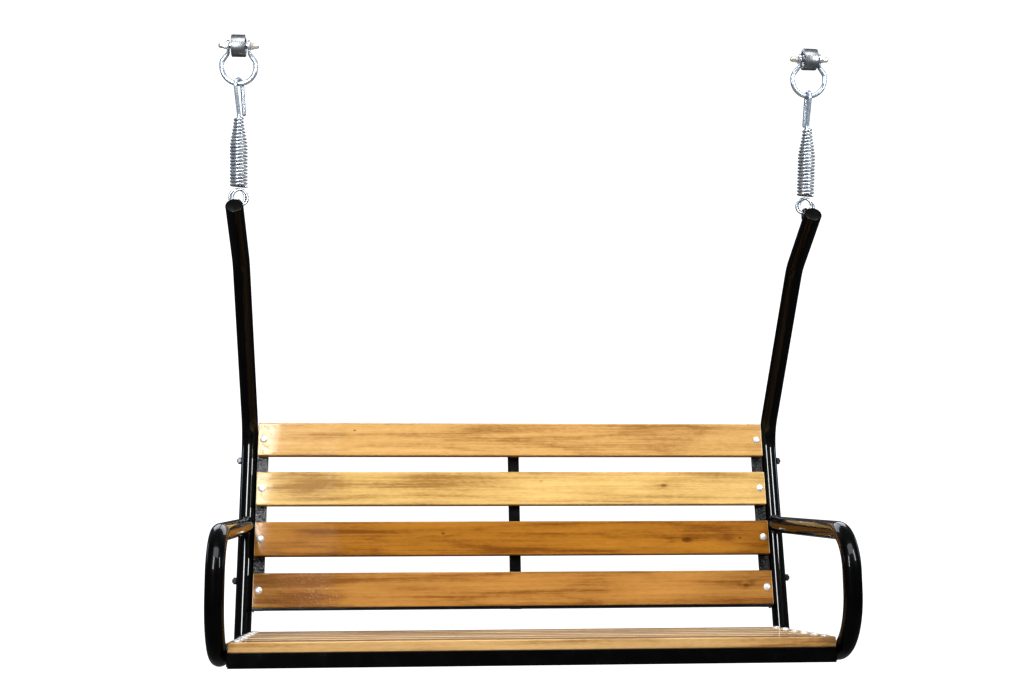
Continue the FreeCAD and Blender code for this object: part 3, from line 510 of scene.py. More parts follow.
def black_paint(name, base=0.0012, coat=1.0, coat_rough=0.035, orange_peel=0.012, duller=None,
                peel_scale=330.0, peel_depth=0.0006):
    """Gloss baked paint: deep black under a clear coat with faint orange peel and thin dust. The coat may be
    thinner past a place along one axis: duller is (axis, place, steepness)."""
    look = Look(name)
    dust = look.noise(26.0, 4.0, rough=0.62)
    thin = look.ramp(dust, [(0.46, 0.0), (0.80, 1.0)])
    look.link(look.mix(thin, (base, base, base * 1.1), (base * 2.2, base * 2.3, base * 2.6)), "Base Color")
    peel = look.noise(peel_scale, 2.0, rough=0.4)
    wave = look.noise(30.0, 2.0, rough=0.4)
    peel_relief = look.bump(peel, orange_peel, peel_depth)
    look.link(look.bump(wave, 0.03, 0.0012, peel_relief), "Coat Normal")
    look.link(look.ramp(dust, [(0.4, coat_rough), (0.8, coat_rough * 2.4)]), "Coat Roughness")
    look.set(roughness=0.35, specular_ior_level=0.06, coat_weight=coat, coat_ior=1.5)
    if duller:
        axis, start, steepness = duller
        along = look.node("SeparateXYZ", {"Vector": look.coords}).outputs[axis]
        past = look.math("MULTIPLY", look.math("SUBTRACT", along, start), steepness, clamp=True)
        look.link(look.math("SUBTRACT", coat, look.math("MULTIPLY", past, COAT_LOST * coat)), "Coat Weight")
    return look.material


def plated(name, bright, dull, rough, spread, grain=(1, 1, 1), scale=70.0, metal=0.85, relief=0.004):
    """Bright plated steel with cloudy passivation and fine tool marks."""
    look = Look(name)
    cloud = look.noise(scale, 3.0, look.mapped(grain), 0.55)
    marks = look.noise(scale * 7, 2.0, look.mapped(grain), 0.5)
    look.link(look.mix(look.ramp(cloud, [(0.34, 0.0), (0.70, 1.0)]), dull, bright), "Base Color")
    uneven = look.math("ADD", look.math("MULTIPLY", cloud, 0.7), look.math("MULTIPLY", marks, 0.3))
    look.link(look.ramp(uneven, [(0.3, rough), (0.72, rough + spread)]), "Roughness")
    look.link(look.bump(marks, relief, 0.0005, look.bump(cloud, relief * 2, 0.001)), "Normal")
    return look.set(metallic=metal, specular_ior_level=0.4).material


PAINT = black_paint("black_paint")
TUBE_PAINT = black_paint("tube_paint", duller=("Z", -0.83, 20.0))
ARM_PAINT = black_paint("arm_paint", duller=("Y", -0.335, -60.0))
CAP_PLASTIC = black_paint("black_caps", 0.0016, 0.25, 0.20, 0.03)
BAR_PAINT = black_paint("bar_paint", 0.0012, 0.42, 0.15, 0.10)
DROPLET_PAINT = black_paint("droplet_paint", coat=0.95, coat_rough=0.03, orange_peel=1.00,
                            duller=("X", 0.1, 5.0), peel_scale=190.0, peel_depth=0.003)
WELD = black_paint("painted_weld", 0.0014, 0.9, 0.06, 0.03)
ZINC = plated("bright_zinc", (0.52, 0.57, 0.635), (0.38, 0.42, 0.48), 0.18, 0.08,
              metal=0.60, relief=0.003)
HOUSING = plated("housing_zinc", (0.28, 0.29, 0.31), (0.21, 0.215, 0.22), 0.34, 0.10, (14, 1, 1), 50.0)
BEARING = plated("bearing_steel", (0.60, 0.62, 0.65), (0.44, 0.46, 0.49), 0.16, 0.08, (8, 1, 1), 80.0)
SHIELD = plated("bearing_shield", (0.46, 0.48, 0.51), (0.34, 0.36, 0.39), 0.26, 0.10, (1, 1, 1), 90.0)
PIN_STEEL = plated("pin_steel", (0.62, 0.63, 0.66), (0.46, 0.47, 0.49), 0.20, 0.10, (9, 1, 1), 90.0)
NICKEL = plated("nickel_nuts", (0.78, 0.74, 0.66), (0.60, 0.56, 0.49), 0.14, 0.08, metal=0.6)
BOLT_ZINC = plated("zinc_bolts", (0.86, 0.88, 0.90), (0.70, 0.72, 0.75), 0.28, 0.10, metal=0.5)
DULL_ZINC = plated("dull_zinc_nuts", (0.13, 0.14, 0.16), (0.08, 0.09, 0.10), 0.30, 0.12)
SPRING_STEEL = plated("spring_steel", (0.56, 0.59, 0.635), (0.43, 0.46, 0.50), 0.22, 0.06,
                      metal=0.72, relief=0.001)

GOLDEN = (0.511, 0.299, 0.105)
PALE = (0.531, 0.343, 0.121)
DARK = (0.299, 0.128, 0.015)
AMBER = (0.345, 0.168, 0.041)
PINKISH = (0.762, 0.483, 0.245)
PINK_PALE = (0.832, 0.560, 0.316)

BACK_WOODS = {
    1: wood("wood_back_1", GOLDEN, 11, 12.0, 0.26, knots=((-358, 20, 2.5),),
            clouds_and_shade=((-100, -18, 380, 26, 0.20),), fine_grain=0.70, patches=0.6),
    2: wood("wood_back_2", PALE, 22, 13.0, 0.24, knots=((338, 6, 5), (60, 16, 2)),
            clouds_and_shade=((-455, 4, 100, 40, 0.50), (330, 4, 70, 20, 0.30), (-250, 10, 200, 24, 0.20)),
            fine_grain=0.75),
    3: wood("wood_back_3", DARK, 33, 10.0, 0.34, knots=((384, -6, 8), (-160, 10, 3), (505, -2, 2.5)),
            clouds_and_shade=((384, -6, 60, 26, 0.30), (-360, -14, 190, 26, 0.18))),
    # the lowest back slat's faint cloud at (480, 6), by its right end, is painted shade
    4: wood("wood_back_4", AMBER, 44, 12.0, 0.30, knots=((512, 4, 6.5),),
            clouds_and_shade=((-480, 0, 120, 44, 0.50), (480, 6, 90, 36, 0.14), (-250, 10, 260, 22, 0.25))),
}
SEAT_WOODS = {
    1: wood("wood_seat_1", (0.475, 0.285, 0.113), 55, 12.0, 0.28, knots=((150, 10, 4),), droplets=0.0),
    2: wood("wood_seat_2", PINKISH, 66, 12.0, 0.26, droplets=0.0),
    3: wood("wood_seat_3", PINK_PALE, 77, 13.0, 0.24, knots=((-330, 8, 5),), droplets=0.0),
    4: wood("wood_seat_4", PINKISH, 88, 12.0, 0.26, droplets=0.0),
    5: wood("wood_seat_5", PINK_PALE, 99, 12.0, 0.24, knots=((220, -6, 6),), droplets=0.0),
    6: wood("wood_seat_6", PINKISH, 110, 12.0, 0.28, droplets=0.0),
}


# ---------------------------------------------------------------- the tube frame

BACK_SLOPE = math.tan(LEAN)


def back_corners():
    waist_y = BACK_FOOT + BACK_SLOPE * 433.7
    foot_z = ARM_LOW_Z - 23.0
    return [
        on_bench(0, 108.5, 850.8),
        on_bench(0, 256.8, 767.9),
        on_bench(0, waist_y, 433.7),
        on_bench(0, BACK_FOOT + BACK_SLOPE * foot_z, foot_z),
    ]


def arm_corners():
    return [
        on_bench(0, BACK_FOOT + BACK_SLOPE * 225.5, 225.5),
        on_bench(0, -50.0, 197.0),
        on_bench(0, -50.0, ARM_LOW_Z),
        on_bench(0, BACK_FOOT + BACK_SLOPE * ARM_LOW_Z, ARM_LOW_Z),
    ]


def stepped(sizes):
    """A sweep radius that takes the sizes in turn along the length."""
    last = len(sizes) - 1
    return lambda share: sizes[min(last, round(share * last))]


def weld_ring(joint, along, post, seed):
    """The bead where a tube that runs along meets a post of the same size, in the side frame's plane."""
    up = X_AXIS.cross(along).normalized()
    rng = random.Random(seed)
    points = []
    for k in range(WELD_STEPS):
        angle = 2 * math.pi * k / WELD_STEPS
        x = TUBE_R * math.cos(angle)
        offset = up * (TUBE_R * math.sin(angle))
        # walk along the tube until it touches the post
        reach = math.sqrt(max(TUBE_R ** 2 - x ** 2, 0.0)) + 0.6
        square = (along - post * along.dot(post))
        lifted = offset - post * offset.dot(post)
        flat = square.normalized()
        step = (reach - lifted.dot(flat)) / square.dot(flat)
        points.append(joint + X_AXIS * x * 1.03 + offset * 1.03 + along * step)
    sizes = [2.7 + 0.35 * math.sin(2 * math.pi * k / 5.0) + rng.uniform(-0.15, 0.15)
             for k in range(WELD_STEPS)]
    return sweep(points, stepped(sizes), 12, closed=True)


def build_side_frame(side, way):
    here = at(X_AXIS * way * FRAME_HALF)
    place = BENCH @ here
    back_path = bent(back_corners(), [100.0, 100.0])
    tube = Shape().add(sweep(back_path, TUBE_R, 72, ("open", "open"), across=X_AXIS), place)
    tube.piece(side + "_back_tube_skin", "bench", [TUBE_PAINT], [side + "_back_tube"], "black_paint",
               sharp=60)

    corners = arm_corners()
    arm_path = bent(corners, [80.0, 116.0])
    arm = Shape().add(sweep(arm_path, TUBE_R - 0.05, 72, ("open", "open"), across=X_AXIS), place)
    post = (back_corners()[3] - back_corners()[2]).normalized()
    top_along = (corners[1] - corners[0]).normalized()
    low_along = (corners[2] - corners[3]).normalized()
    arm.add(weld_ring(corners[0], top_along, post, 5 + way), place, 1)
    arm.add(weld_ring(corners[3], low_along, post, 9 + way), place, 1)
    arm.piece(side + "_arm_tube_skin", "bench", [ARM_PAINT, WELD], [side + "_arm_tube"], "black_paint",
              sharp=60)

    for name, point, outward, dome in (
        ("top_cap", back_corners()[0], back_corners()[0] - back_corners()[1], 2.7),
        ("foot_cap", back_corners()[3], back_corners()[3] - back_corners()[2], 1.5),
    ):
        profile = [(TUBE_R - 2.2, -6.0), (TUBE_R - 2.0, 0.0), (TUBE_R - 0.2, 0.05), (TUBE_R + 0.15, 0.35)]
        profile += [(TUBE_R + 0.15 - dome * (1 - math.cos(math.pi / 2 * k / 7)),
                     3.0 - dome + dome * math.sin(math.pi / 2 * k / 7)) for k in range(8)]
        profile += [(9.0, 3.25), (0, 3.4)]
        cap = Shape().add(lathe(profile, 72), place @ at(point) @ towards(outward))
        cap.piece(side + "_" + name + "_skin", "bench", [CAP_PLASTIC], [side + "_" + name], "black_plastic")

    # the hanging eye with its two weld beads
    along = (back_corners()[0] - back_corners()[1]).normalized()
    outward = X_AXIS.cross(along)
    if outward.z < 0:
        outward = -outward
    centre = Matrix.Rotation(TILT, 3, "X") @ Vector((0, 0, -3.7))
    mean = EYE_INNER_R + EYE_BAR_R
    height = (centre - back_corners()[0]).dot(outward)
    feet = [centre + along * mean * k - outward * (height - TUBE_R) for k in (1, -1)]
    shoulders = [centre + along * mean * k + outward * mean for k in (1, -1)]
    sunk = [foot - outward * 3.0 for foot in feet]
    rod = bent([sunk[0], shoulders[0], shoulders[1], sunk[1]], [mean - 0.01] * 2, 6.0, 8.0)
    inside = FRAME_HALF - HANGER_HALF
    place = BENCH @ at(X_AXIS * way * HANGER_HALF)
    eye = Shape().add(sweep(rod, EYE_BAR_R, 40), place)
    rng = random.Random(31 + way)
    for foot in feet:
        bead = []
        for k in range(BEAD_STEPS):
            angle = 2 * math.pi * k / BEAD_STEPS
            x = EYE_BEAD_R * math.cos(angle)
            sink = TUBE_R - math.sqrt(TUBE_R ** 2 - (x - way * inside) ** 2)
            bead.append(foot + X_AXIS * x + along * EYE_BEAD_R * math.sin(angle) - outward * (sink - 0.3))
        sizes = [2.0 + 0.3 * math.sin(k * 1.3) + rng.uniform(-0.12, 0.12) for k in range(BEAD_STEPS)]
        eye.add(sweep(bead, stepped(sizes), 12, closed=True), place, 1)
    eye.piece(side + "_eye_skin", "bench", [PAINT, WELD], [side + "_eye"], "black_paint", sharp=60)


# ---------------------------------------------------------------- bars

def bar(name, outline, length, place, corner=0.6):
    """A bar of the outline's section along Z, centred, with softened edges and paint."""
    verts, faces = [], []
    count = len(outline)
    for z in (-length / 2, length / 2):
        verts += [Vector((x, y, z)) for x, y in outline]
    for k in range(count):
        n = (k + 1) % count
        faces.append((k, n, n + count, k + count))
    faces.append(tuple(reversed(range(count))))
    faces.append(tuple(range(count, 2 * count)))
    shape = Shape().add((verts, faces), place)
    obj = shape.piece(name + "_skin", None, [DROPLET_PAINT if name.endswith("back_angle") else BAR_PAINT])
    soften = obj.modifiers.new("soften", "BEVEL")
    soften.width = corner * MM
    soften.segments = 3
    soften.limit_method = "ANGLE"
    soften.angle_limit = math.radians(30)
    obj.data.polygons.foreach_set("use_smooth", [True] * len(obj.data.polygons))
    tidy = obj.modifiers.new("shade", "WEIGHTED_NORMAL")
    tidy.keep_sharp = False
    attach(obj, "bench")
    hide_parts(name)


def angle_outline(x_way, y_way, leg=25.0, thick=3.0):
    a, b = leg * x_way, leg * y_way
    points = [(0, 0), (a, 0), (a, thick * y_way), (thick * x_way, thick * y_way), (thick * x_way, b), (0, b)]
    if x_way * y_way < 0:
        points.reverse()
    return points


def flat_outline(width, thick):
    x, y = width / 2, thick / 2
    return [(-x, -y), (x, -y), (x, y), (-x, y)]


def build_bars():
    along_seat = Matrix.Rotation(-math.pi / 2, 4, "X")
    for side, way in SIDES:
        place = BENCH @ at(on_bench(way * TUBE_INNER_X, SEAT_BAR_MIDDLE, -SLAT_THICK)) @ along_seat
        bar(side + "_seat_angle", angle_outline(-way, 1), SEAT_BAR_LENGTH, place)
        place = BENCH @ at(on_back(way * TUBE_INNER_X, BACK_BAR_MIDDLE, SLAT_BACK)) @ BACK_TURN
        bar(side + "_back_angle", angle_outline(-way, 1), BACK_BAR_LENGTH, place)
    lengthwise = Matrix(((0, 0, 1, 0), (1, 0, 0, 0), (0, 1, 0, 0), (0, 0, 0, 1)))
    for name, inward, y in (("seat_front_rail", 1, 1.0), ("seat_rear_rail", -1, 411.0)):
        place = BENCH @ at(on_bench(0, y, -SLAT_THICK - 28.0)) @ lengthwise
        bar(name, angle_outline(inward, 1, 28.0), SLAT_LENGTH, place)
    place = BENCH @ at(on_bench(0, SEAT_BAR_MIDDLE, -SLAT_THICK - 2.5)) @ along_seat
    bar("seat_centre_strap", flat_outline(25.0, 5.0), SEAT_BAR_LENGTH, place)
    place = BENCH @ at(on_back(0, BACK_BAR_MIDDLE, SLAT_BACK - 2.5)) @ BACK_TURN
    bar("back_centre_strap", flat_outline(25.0, 5.0), BACK_BAR_LENGTH, place)
    ledge_along = BACK_CENTRES[0] - BACK_WIDTH / 2 - 2.0
    place = BENCH @ at(on_back(0, ledge_along, SLAT_BACK + SLAT_THICK / 2)) @ BACK_TURN @ lengthwise
    bar("back_ledge_rail", flat_outline(20.0, 4.0), SLAT_LENGTH, place, 0.5)


# ---------------------------------------------------------------- slats

def board(width, thick=SLAT_THICK, length=SLAT_LENGTH, soft=2.6, seed=0):
    """A planed board along X with rounded long edges, eased ends and a trace of waviness."""
    corner_steps = 6
    outline = []
    for cx, cy, start in ((1, 1, 0), (-1, 1, 90), (-1, -1, 180), (1, -1, 270)):
        for k in range(-1, corner_steps + 2):
            turn = min(max(k, 0), corner_steps)
            along = 0.8 * (k - turn)
            angle = math.radians(start + 90 * turn / corner_steps)
            outline.append(((width / 2 - soft) * cx + soft * math.cos(angle) - along * math.sin(angle),
                            (thick / 2 - soft) * cy + soft * math.sin(angle) + along * math.cos(angle)))
    ease = [(0.0, 1.0), (0.3, 0.45), (1.0, 0.0), (1.7, 0.0)]
    stations = [(-length / 2 + x, inset) for x, inset in ease]
    runs = 36
    for k in range(1, runs):
        stations.append((-length / 2 + length * k / runs, 0.0))
    stations += [(length / 2 - x, inset) for x, inset in reversed(ease)]
    verts, faces = [], []
    for x, inset in stations:
        for y, z in outline:
            shrink_y = 1 - inset / (width / 2)
            shrink_z = 1 - inset / (thick / 2)
            wave = fine(x / 1000.0, 0.10, 5.0, seed) + fine(y / 60.0, 0.04, 2.0, seed + x / 300.0)
            level = z * shrink_z + (wave if z > 0 else 0.0)
            verts.append(Vector((x, y * shrink_y, level)))
    count = len(outline)
    for s in range(len(stations) - 1):
        for k in range(count):
            n = (k + 1) % count
            faces.append((s * count + k, s * count + n, (s + 1) * count + n, (s + 1) * count + k))
    last = (len(stations) - 1) * count
    faces.append(tuple(reversed(range(count))))
    faces.append(tuple(range(last, last + count)))
    return verts, faces


def build_slats():
    record_slots = {s["node"]: s["material_slot"] for s in frame["record"]["subparts"]}
    for number, y in enumerate(SEAT_CENTRES, start=1):
        place = BENCH @ at(on_bench(0, y, -SLAT_THICK / 2))
        slat = Shape().add(board(SEAT_WIDTH, seed=number))
        name = "seat_slat_%d" % number
        slat.piece(name + "_board", "bench", [SEAT_WOODS[number]], [name], record_slots[name], place, 40)
    upright = BACK_TURN @ Matrix.Rotation(math.pi / 2, 4, "X")
    for number, s in enumerate(reversed(BACK_CENTRES), start=1):
        place = BENCH @ at(on_back(0, s, SLAT_BACK + SLAT_THICK / 2)) @ upright
        slat = Shape().add(board(BACK_WIDTH, seed=20 + number))
        name = "back_slat_%d" % number
        slat.piece(name + "_board", "bench", [BACK_WOODS[number]], [name], record_slots[name], place, 40)


# ---------------------------------------------------------------- fasteners of the bench

def slat_fixings():
    spots = []
    for way in (-1, 1):
        for y in SEAT_CENTRES:
            spots.append(at(on_bench(way * BOLT_X, y, 0)))
        for s in BACK_CENTRES:
            spots.append(at(on_back(way * BOLT_X, s, SLAT_BACK + SLAT_THICK))
                         @ BACK_TURN @ Matrix.Rotation(math.pi / 2, 4, "X"))
    return spots


def build_fasteners():
    dome = [(7.6, -0.3), (7.95, 0.0), (8.0, 0.25)]
    dome += [(8.0 * math.cos(a) ** 0.85, 0.25 + 3.2 * math.sin(a)) for a in
             [math.pi / 2 * k / 10 for k in range(1, 10)]]
    dome += [(0, 3.5)]
    heads, nuts = Shape(), Shape()
    rng = random.Random(7)
    nut_part = lathe(hex_profile(10.0, 5.0, 2.9), 96, hexagon(10.0))
    for spot in slat_fixings():
        place = BENCH @ spot
        heads.add(lathe(dome, 48), place)
        under = place @ at((0, 0, -SLAT_THICK - 3.0)) @ Matrix.Rotation(math.pi, 4, "X")
        heads.add(thread(3.0, 7.6, 1.0), under)
        nuts.add(nut_part, under @ Matrix.Rotation(rng.uniform(0, 1), 4, "Z"))
    heads.piece("slat_bolt_heads", "bench", [BOLT_ZINC], ["slat_bolts"], "zinc_fasteners")
    nuts.piece("slat_bolt_nuts", "bench", [BOLT_ZINC], ["slat_nuts"], "zinc_fasteners")

    bolts, lock_nuts = Shape(), Shape()
    head = lathe([(0, 0.0), (4.9, 0.0), (5.7, 0.3), (6.1, 0.9), (6.2, 1.6), (6.2, 5.1), (6.0, 5.3),
                  (3.9, 5.3)], 56)
    nut_part = lathe(hex_profile(13.0, 6.5, 3.9), 96, hexagon(13.0))
    points = [on_back(0, s, 0) for s in FRAME_BOLTS_UP_BACK]
    points += [on_bench(0, y, ARM_LOW_Z) for y in FRAME_BOLTS_UNDER_SEAT]
    for way in (-1, 1):
        outward = towards(X_AXIS * way)
        for point in points:
            inner = BENCH @ at(point + X_AXIS * way * (TUBE_INNER_X - 3.0)) @ outward
            outer = BENCH @ at(point + X_AXIS * way * (FRAME_HALF + TUBE_R)) @ outward
            spin = Matrix.Rotation(rng.uniform(0, 1), 4, "Z")
            bolts.add(head, inner @ at((0, 0, -5.3)) @ spin)
            bolts.add(lathe([(4.0, -0.1), (4.0, 41.5)], 32), inner)
            bolts.add(thread(4.0, 8.6, 1.25), outer)
            lock_nuts.add(nut_part, outer @ spin)
    bolts.piece("frame_bolt_rods", "bench", [DULL_ZINC], ["frame_bolts"], "zinc_fasteners")
    lock_nuts.piece("frame_bolt_nuts", "bench", [DULL_ZINC], ["frame_nuts"], "zinc_fasteners")

    screws = Shape()
    pan = [(0, -2.5), (1.6, -2.45), (2.6, -2.2), (3.4, -1.6), (3.9, -0.7), (4.0, 0.0), (2.2, 0.05),
           (2.0, 4.0)]
    spots = [at(on_bench(0, y, -SLAT_THICK - 5.0)) for y in SEAT_CENTRES]
    spots += [at(on_back(0, s, SLAT_BACK - 5.0)) @ BACK_TURN @ Matrix.Rotation(math.pi / 2, 4, "X")
              for s in BACK_CENTRES]
    for spot in spots:
        screws.add(lathe(pan, 32), BENCH @ spot)
    screws.piece("centre_screw_heads", "bench", [BOLT_ZINC], ["centre_screws"], "zinc_fasteners")


# ---------------------------------------------------------------- hangers

def build_housing(side, way):
    """Housing with its two shielded bearings. All of it is fixed to the beam."""
    place = at(X_AXIS * way * HANGER_HALF) @ towards(X_AXIS)
    half = 14.0
    outline = [(16.0, -half + 0.5), (16.5, -half), (21.4, -half), (22.2, -half + 0.35), (22.5, -half + 1.1)]
    outline += [(22.5, half - 1.1), (22.2, half - 0.35), (21.4, half), (16.5, half), (16.0, half - 0.5)]
    outline += [(16.0, 2.5), (14.0, 2.5), (14.0, -2.5), (16.0, -2.5), (16.0, -half + 0.5)]
    shell = Shape().add(lathe(outline, 96), place)
    shell.piece(side + "_housing_shell", "bearing_housings", [HOUSING], [side + "_housing"], "housing_zinc")
    rings = Shape()
    for sign in (-1, 1):
        turned = place @ (Matrix.Rotation(math.pi, 4, "X") if sign < 0 else Matrix())
        outer = [(15.95, 2.6), (15.95, 12.0), (15.5, 12.45), (13.4, 12.5), (13.0, 12.2), (13.0, 2.6)]
        rings.add(lathe(outer, 80), turned)
        shield = [(13.1, 12.0), (12.6, 12.15), (12.2, 12.0), (11.8, 11.75), (10.2, 11.7), (9.6, 11.6),
                  (9.3, 11.3)]
        rings.add(lathe(shield, 80), turned, 1)
    rings.piece(side + "_bearing_rings_outer", "bearing_housings", [BEARING, SHIELD],
                [side + "_bearing_outer_rings", side + "_bearing_shields", side + "_bearing_balls"],
                "bearing_steel")


def cap_nut_part():
    """Hexagon, a short neck and a dome."""
    profile = hex_profile(13.0, 6.4, 4.0)[:-1]
    profile += [(6.1, 6.4), (5.75, 6.55), (5.65, 6.9)]
    top = 11.5 + 5.9
    for k in range(11):
        a = math.pi / 2 * k / 10
        profile.append((5.7 * math.cos(a), top - 5.6 + 5.6 * math.sin(a)) if k < 10 else (0, top))
    return lathe(profile, 96, lambda angle, radius, height:
                 hexagon(13.0)(angle, radius, height) if height < 6.45 else radius)


def build_shackle(side, way):
    here = at(X_AXIS * way * HANGER_HALF)
    along_x = here @ towards(X_AXIS)
    ear_x = EAR_INNER + EAR_THICK / 2
    half = [Vector((ear_x, 0, 2)), Vector((ear_x, 0, -15)), Vector((BOW_HALF, 0, -32)),
            Vector((BOW_HALF, 0, -BOW_DROP))]
    corners = half + [Vector((-p.x, 0, p.z)) for p in reversed(half)]
    path = bent(corners, [12, 14, 33.99, 33.99, 14, 12], 4.0, 6.0)
    span = sum((b - a).length for a, b in zip(path, path[1:]))

    def section(share):
        """The bar is round below and is forged out flat towards each ear."""
        from_end = min(share, 1 - share) * span
        flat = max(0.0, min(1.0, (26.0 - from_end) / 17.0))
        flat = flat * flat * (3 - 2 * flat)
        return BOW_BAR_R - 2.35 * flat, BOW_BAR_R + 3.2 * flat

    bow = Shape().add(sweep(path, section, 48, across=X_AXIS), here)
    ear = [(4.1, 0.35), (4.5, 0.0), (10.7, 0.0), (11.2, 0.25), (11.5, 0.9), (11.5, 4.6), (11.2, 5.25),
           (10.7, 5.5), (4.5, 5.5), (4.1, 5.15), (4.1, 0.35)]
    for low in (EAR_INNER, -EAR_INNER - EAR_THICK):
        bow.add(lathe(ear, 72), along_x @ at((0, 0, low)))
    bow.piece(side + "_shackle_bow", side + "_shackle_set", [ZINC], [side + "_shackle"], "bright_zinc",
              sharp=40)

    pin = Shape()
    barrel = [(4.0, -23.9), (4.0, -18.25), (5.6, -18.2), (5.95, -17.8), (5.95, 17.8), (5.6, 18.2),
              (4.0, 18.25), (4.0, 23.9)]
    pin.add(lathe(barrel, 56), along_x)
    pin.piece(side + "_pin_turned", side + "_shackle_set", [PIN_STEEL], [side + "_pin"], "pin_steel")

    nuts = Shape()
    rng = random.Random(50 + way)
    for sign in (-1, 1):
        turned = here @ at(X_AXIS * sign * 23.7) @ towards(X_AXIS * sign)
        nuts.add(cap_nut_part(), turned @ Matrix.Rotation(rng.uniform(0, 1), 4, "Z"))
    nuts.piece(side + "_cap_nuts_domed", side + "_shackle_set", [NICKEL], [side + "_cap_nuts"], "nickel_nuts")

    inner = Shape()
    for sign in (-1, 1):
        turned = along_x @ (Matrix.Rotation(math.pi, 4, "X") if sign < 0 else Matrix())
        ring = [(5.95, 2.6), (9.0, 2.6), (9.0, 12.15), (8.7, 12.45), (6.3, 12.5), (5.95, 12.2), (5.95, 2.6)]
        inner.add(lathe(ring, 64), turned)
    inner.piece(side + "_bearing_rings_inner", side + "_shackle_set", [BEARING],
                [side + "_bearing_inner_rings"], "bearing_steel")


def hook_corners():
    crown = -BOW_DROP + 9.0 + 0.3
    shank_top = HOOK_SHANK_TOP
    front_lean = math.asin(HOOK_CROWN_R / (crown - HOOK_CROWN_R - shank_top))
    rear_lean = math.radians(7)
    rear = HOOK_CROWN_R / math.cos(rear_lean) - HOOK_CROWN_R * math.tan(rear_lean)
    return [
        Vector((0, 0, -172.0)),
        Vector((0, 0, shank_top)),
        Vector((0, -(crown - shank_top) * math.tan(front_lean), crown)),
        Vector((0, rear, crown)),
        Vector((0, rear + (crown + 136.0) * math.tan(rear_lean), -136.0)),
    ]


def build_hook(side, way):
    turn = Matrix.Rotation(math.radians(way * HOOK_SWIVEL[side]), 4, "Z")
    place = at(X_AXIS * way * HANGER_HALF) @ turn
    path = bent(hook_corners(), [30.0, 11.98, 11.98], 5.0, 6.0)
    hook = Shape().add(sweep(path, HOOK_BAR_R, 40, ("flat", "round")), place)
    hook.add(lathe([(0, -175.0), (6.9, -175.0), (7.5, -174.4), (7.5, -172.0), (4.0, -160.0)], 40), place)
    hook.piece(side + "_hook_bar", side + "_hook_set", [ZINC], [side + "_hook"], "bright_zinc", sharp=50)


def spring_path():
    """The coil's wire, from the neck at the top to the foot."""
    taper, neck_height, pitch = 58.0, 8.0, 6.9
    full, neck = 15.25, 7.65
    height = SPRING_TOP - SPRING_FOOT
    turns = height / pitch
    count = int(turns * 40)
    points = []
    for k in range(count + 1):
        drop = height * k / count
        widening = min(max((drop - neck_height) / (taper - neck_height), 0.0), 1.0)
        widening = widening * widening * (3 - 2 * widening) * 0.35 + widening * 0.65
        radius = neck + (full - neck) * widening
        # the angle falls with the height so that the coil meets the drawn solid
        angle = 2 * math.pi * turns * (1 - k / count)
        points.append(Vector((radius * math.cos(angle), radius * math.sin(angle), SPRING_TOP - drop)))
    return points


def loop_path(way):
    """Two turns of wire in the upright plane, one a little further out than the other."""
    radius, apart, shift = 15.7, 5.2, 7.0
    centre_z = -HANG_DROP + radius
    points = []
    count = 96
    for k in range(count + 1):
        share = k / count
        angle = math.radians(70) - way * 2 * math.pi * 1.92 * share
        x = way * shift / 2 * math.tanh((share - 0.5) * 9)
        y = (share - 0.5) * apart
        points.append(Vector((x + radius * math.cos(angle), y, centre_z + radius * math.sin(angle))))
    return points


def build_spring(side, way):
    here = at(X_AXIS * way * HANGER_HALF)
    coil = spring_path()
    loop = loop_path(way)
    spring = Shape().add(sweep(coil, WIRE_R, 16, ("flat", "flat"), chamfer=0.3), here)
    spring.add(sweep(loop, WIRE_R, 20, ("flat", "flat"), chamfer=0.3), here)
    obj = spring.piece(side + "_spring_wire", None, [SPRING_STEEL], sharp=50)
    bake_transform(obj)
    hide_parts(side + "_spring", side + "_spring_loop")


for frame_side, frame_way in SIDES:
    build_side_frame(frame_side, frame_way)
build_bars()
build_slats()
build_fasteners()
for hanger_side, hanger_way in SIDES:
    build_housing(hanger_side, hanger_way)
    build_shackle(hanger_side, hanger_way)
    build_hook(hanger_side, hanger_way)
    build_spring(hanger_side, hanger_way)


# ---------------------------------------------------------------- camera, floor and light

scene = bpy.context.scene
scene.view_settings.view_transform = "Standard"
scene.view_settings.look = "Medium High Contrast"

camera_data = bpy.data.cameras.new("camera")
camera_data.lens = 49.82
camera_data.sensor_width = 36.0
camera = bpy.data.objects.new("camera", camera_data)
scene.collection.objects.link(camera)
camera_pan, camera_pitch, camera_roll = -4.72, -4.0, 0.756
camera.matrix_world = (
    Matrix.Translation((-0.2686, -2.932, -0.389))
    @ Matrix.Rotation(math.radians(camera_pan), 4, "Z")
    @ Matrix.Rotation(math.radians(90 + camera_pitch), 4, "X")
    @ Matrix.Rotation(math.radians(camera_roll), 4, "Z")
)
scene.camera = camera

floor_mesh = bpy.data.meshes.new("floor")
floor_corners = [(-7, -6, FLOOR_Z), (7, -6, FLOOR_Z), (7, 8, FLOOR_Z), (-7, 8, FLOOR_Z)]
floor_mesh.from_pydata(floor_corners, [], [(0, 1, 2, 3)])
floor = bpy.data.objects.new("floor", floor_mesh)
scene.collection.objects.link(floor)
floor_look = Look("pale_floor")
floor_tone = floor_look.ramp(floor_look.noise(1.2, 3.0), [(0.3, 0.10), (0.7, 0.12)])
floor_look.link(floor_tone, "Base Color")
floor_look.set(roughness=0.9, specular_ior_level=0.1)
# the floor runs into the white backdrop, as on an overexposed studio sweep
floor_seen = floor_look.node("LightPath").outputs["Is Camera Ray"]
floor_white = floor_look.node("Emission", {"Color": (1.0, 1.0, 1.0, 1.0), "Strength": 1.0}).outputs[0]
floor_mix = floor_look.node("MixShader", {0: floor_seen, 1: floor_look.shader.outputs[0], 2: floor_white})
floor_look.tree.links.new(floor_mix.outputs[0], floor_look.tree.nodes["Material Output"].inputs["Surface"])
floor_mesh.materials.append(floor_look.material)

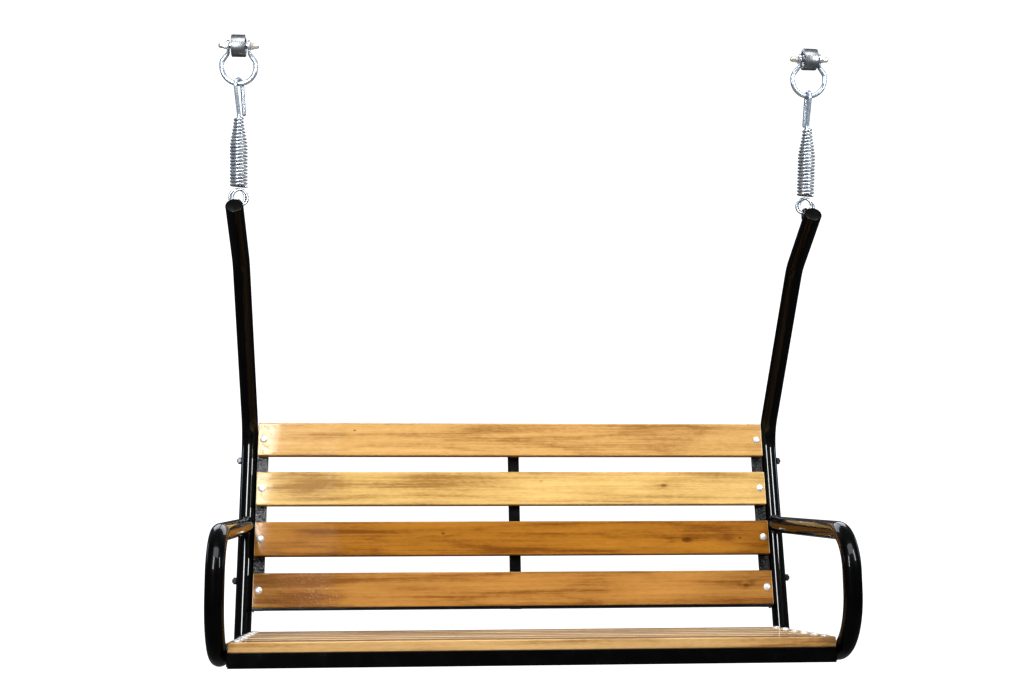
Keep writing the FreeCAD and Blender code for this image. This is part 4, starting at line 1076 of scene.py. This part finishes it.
world = bpy.data.worlds.new("studio")
world.use_nodes = True
scene.world = world
world_tree = world.node_tree
background = world_tree.nodes["Background"]
background.inputs["Color"].default_value = (0.93, 0.95, 1.0, 1.0)
background.inputs["Strength"].default_value = 0.08
backdrop = world_tree.nodes.new("ShaderNodeBackground")
backdrop.inputs["Color"].default_value = (1.0, 1.0, 1.0, 1.0)
chooser = world_tree.nodes.new("ShaderNodeMixShader")
light_path = world_tree.nodes.new("ShaderNodeLightPath")
world_tree.links.new(light_path.outputs["Is Camera Ray"], chooser.inputs["Fac"])
world_tree.links.new(background.outputs[0], chooser.inputs[1])
world_tree.links.new(backdrop.outputs[0], chooser.inputs[2])
world_tree.links.new(chooser.outputs[0], world_tree.nodes["World Output"].inputs["Surface"])


def softbox(name, position, target, size, power, colour):
    """A rectangular studio light that the camera doesn't see."""
    data = bpy.data.lights.new(name, "AREA")
    data.shape = "RECTANGLE"
    data.size, data.size_y = size
    data.energy = power
    data.color = colour
    light = bpy.data.objects.new(name, data)
    scene.collection.objects.link(light)
    light.location = position
    light.visible_camera = False
    light.rotation_euler = (Vector(target) - Vector(position)).to_track_quat("-Z", "Y").to_euler()


# two upright boxes near the front corners draw the pair of white lines down each leaning tube; the left one
# also shows in the slats' left ends
softbox("box_left", (-0.97, -1.60, 0.15), (-0.30, 0.10, -0.45), (0.46, 0.90), 27, (0.95, 0.98, 1.0))
softbox("box_right", (1.36, -1.20, 0.20), (0.40, 0.10, -0.45), (0.36, 0.80), 20, (0.95, 0.98, 1.0))
softbox("front_top", (0, -2.2, 3.2), (0, 0, -1.0), (4.5, 2.0), 190, (0.98, 0.99, 1.0))
softbox("back_fill", (0, 4.2, 1.6), (0, 0, -0.9), (6.0, 2.4), 95, (0.90, 0.95, 1.0))
softbox("rim_right", (3.3, 1.3, -0.45), (0.5, 0.2, -0.8), (1.4, 0.5), 5, (0.62, 0.80, 1.0))
softbox("rim_left", (-3.3, 1.3, -0.45), (-0.5, 0.2, -0.8), (1.4, 0.5), 5, (0.62, 0.80, 1.0))
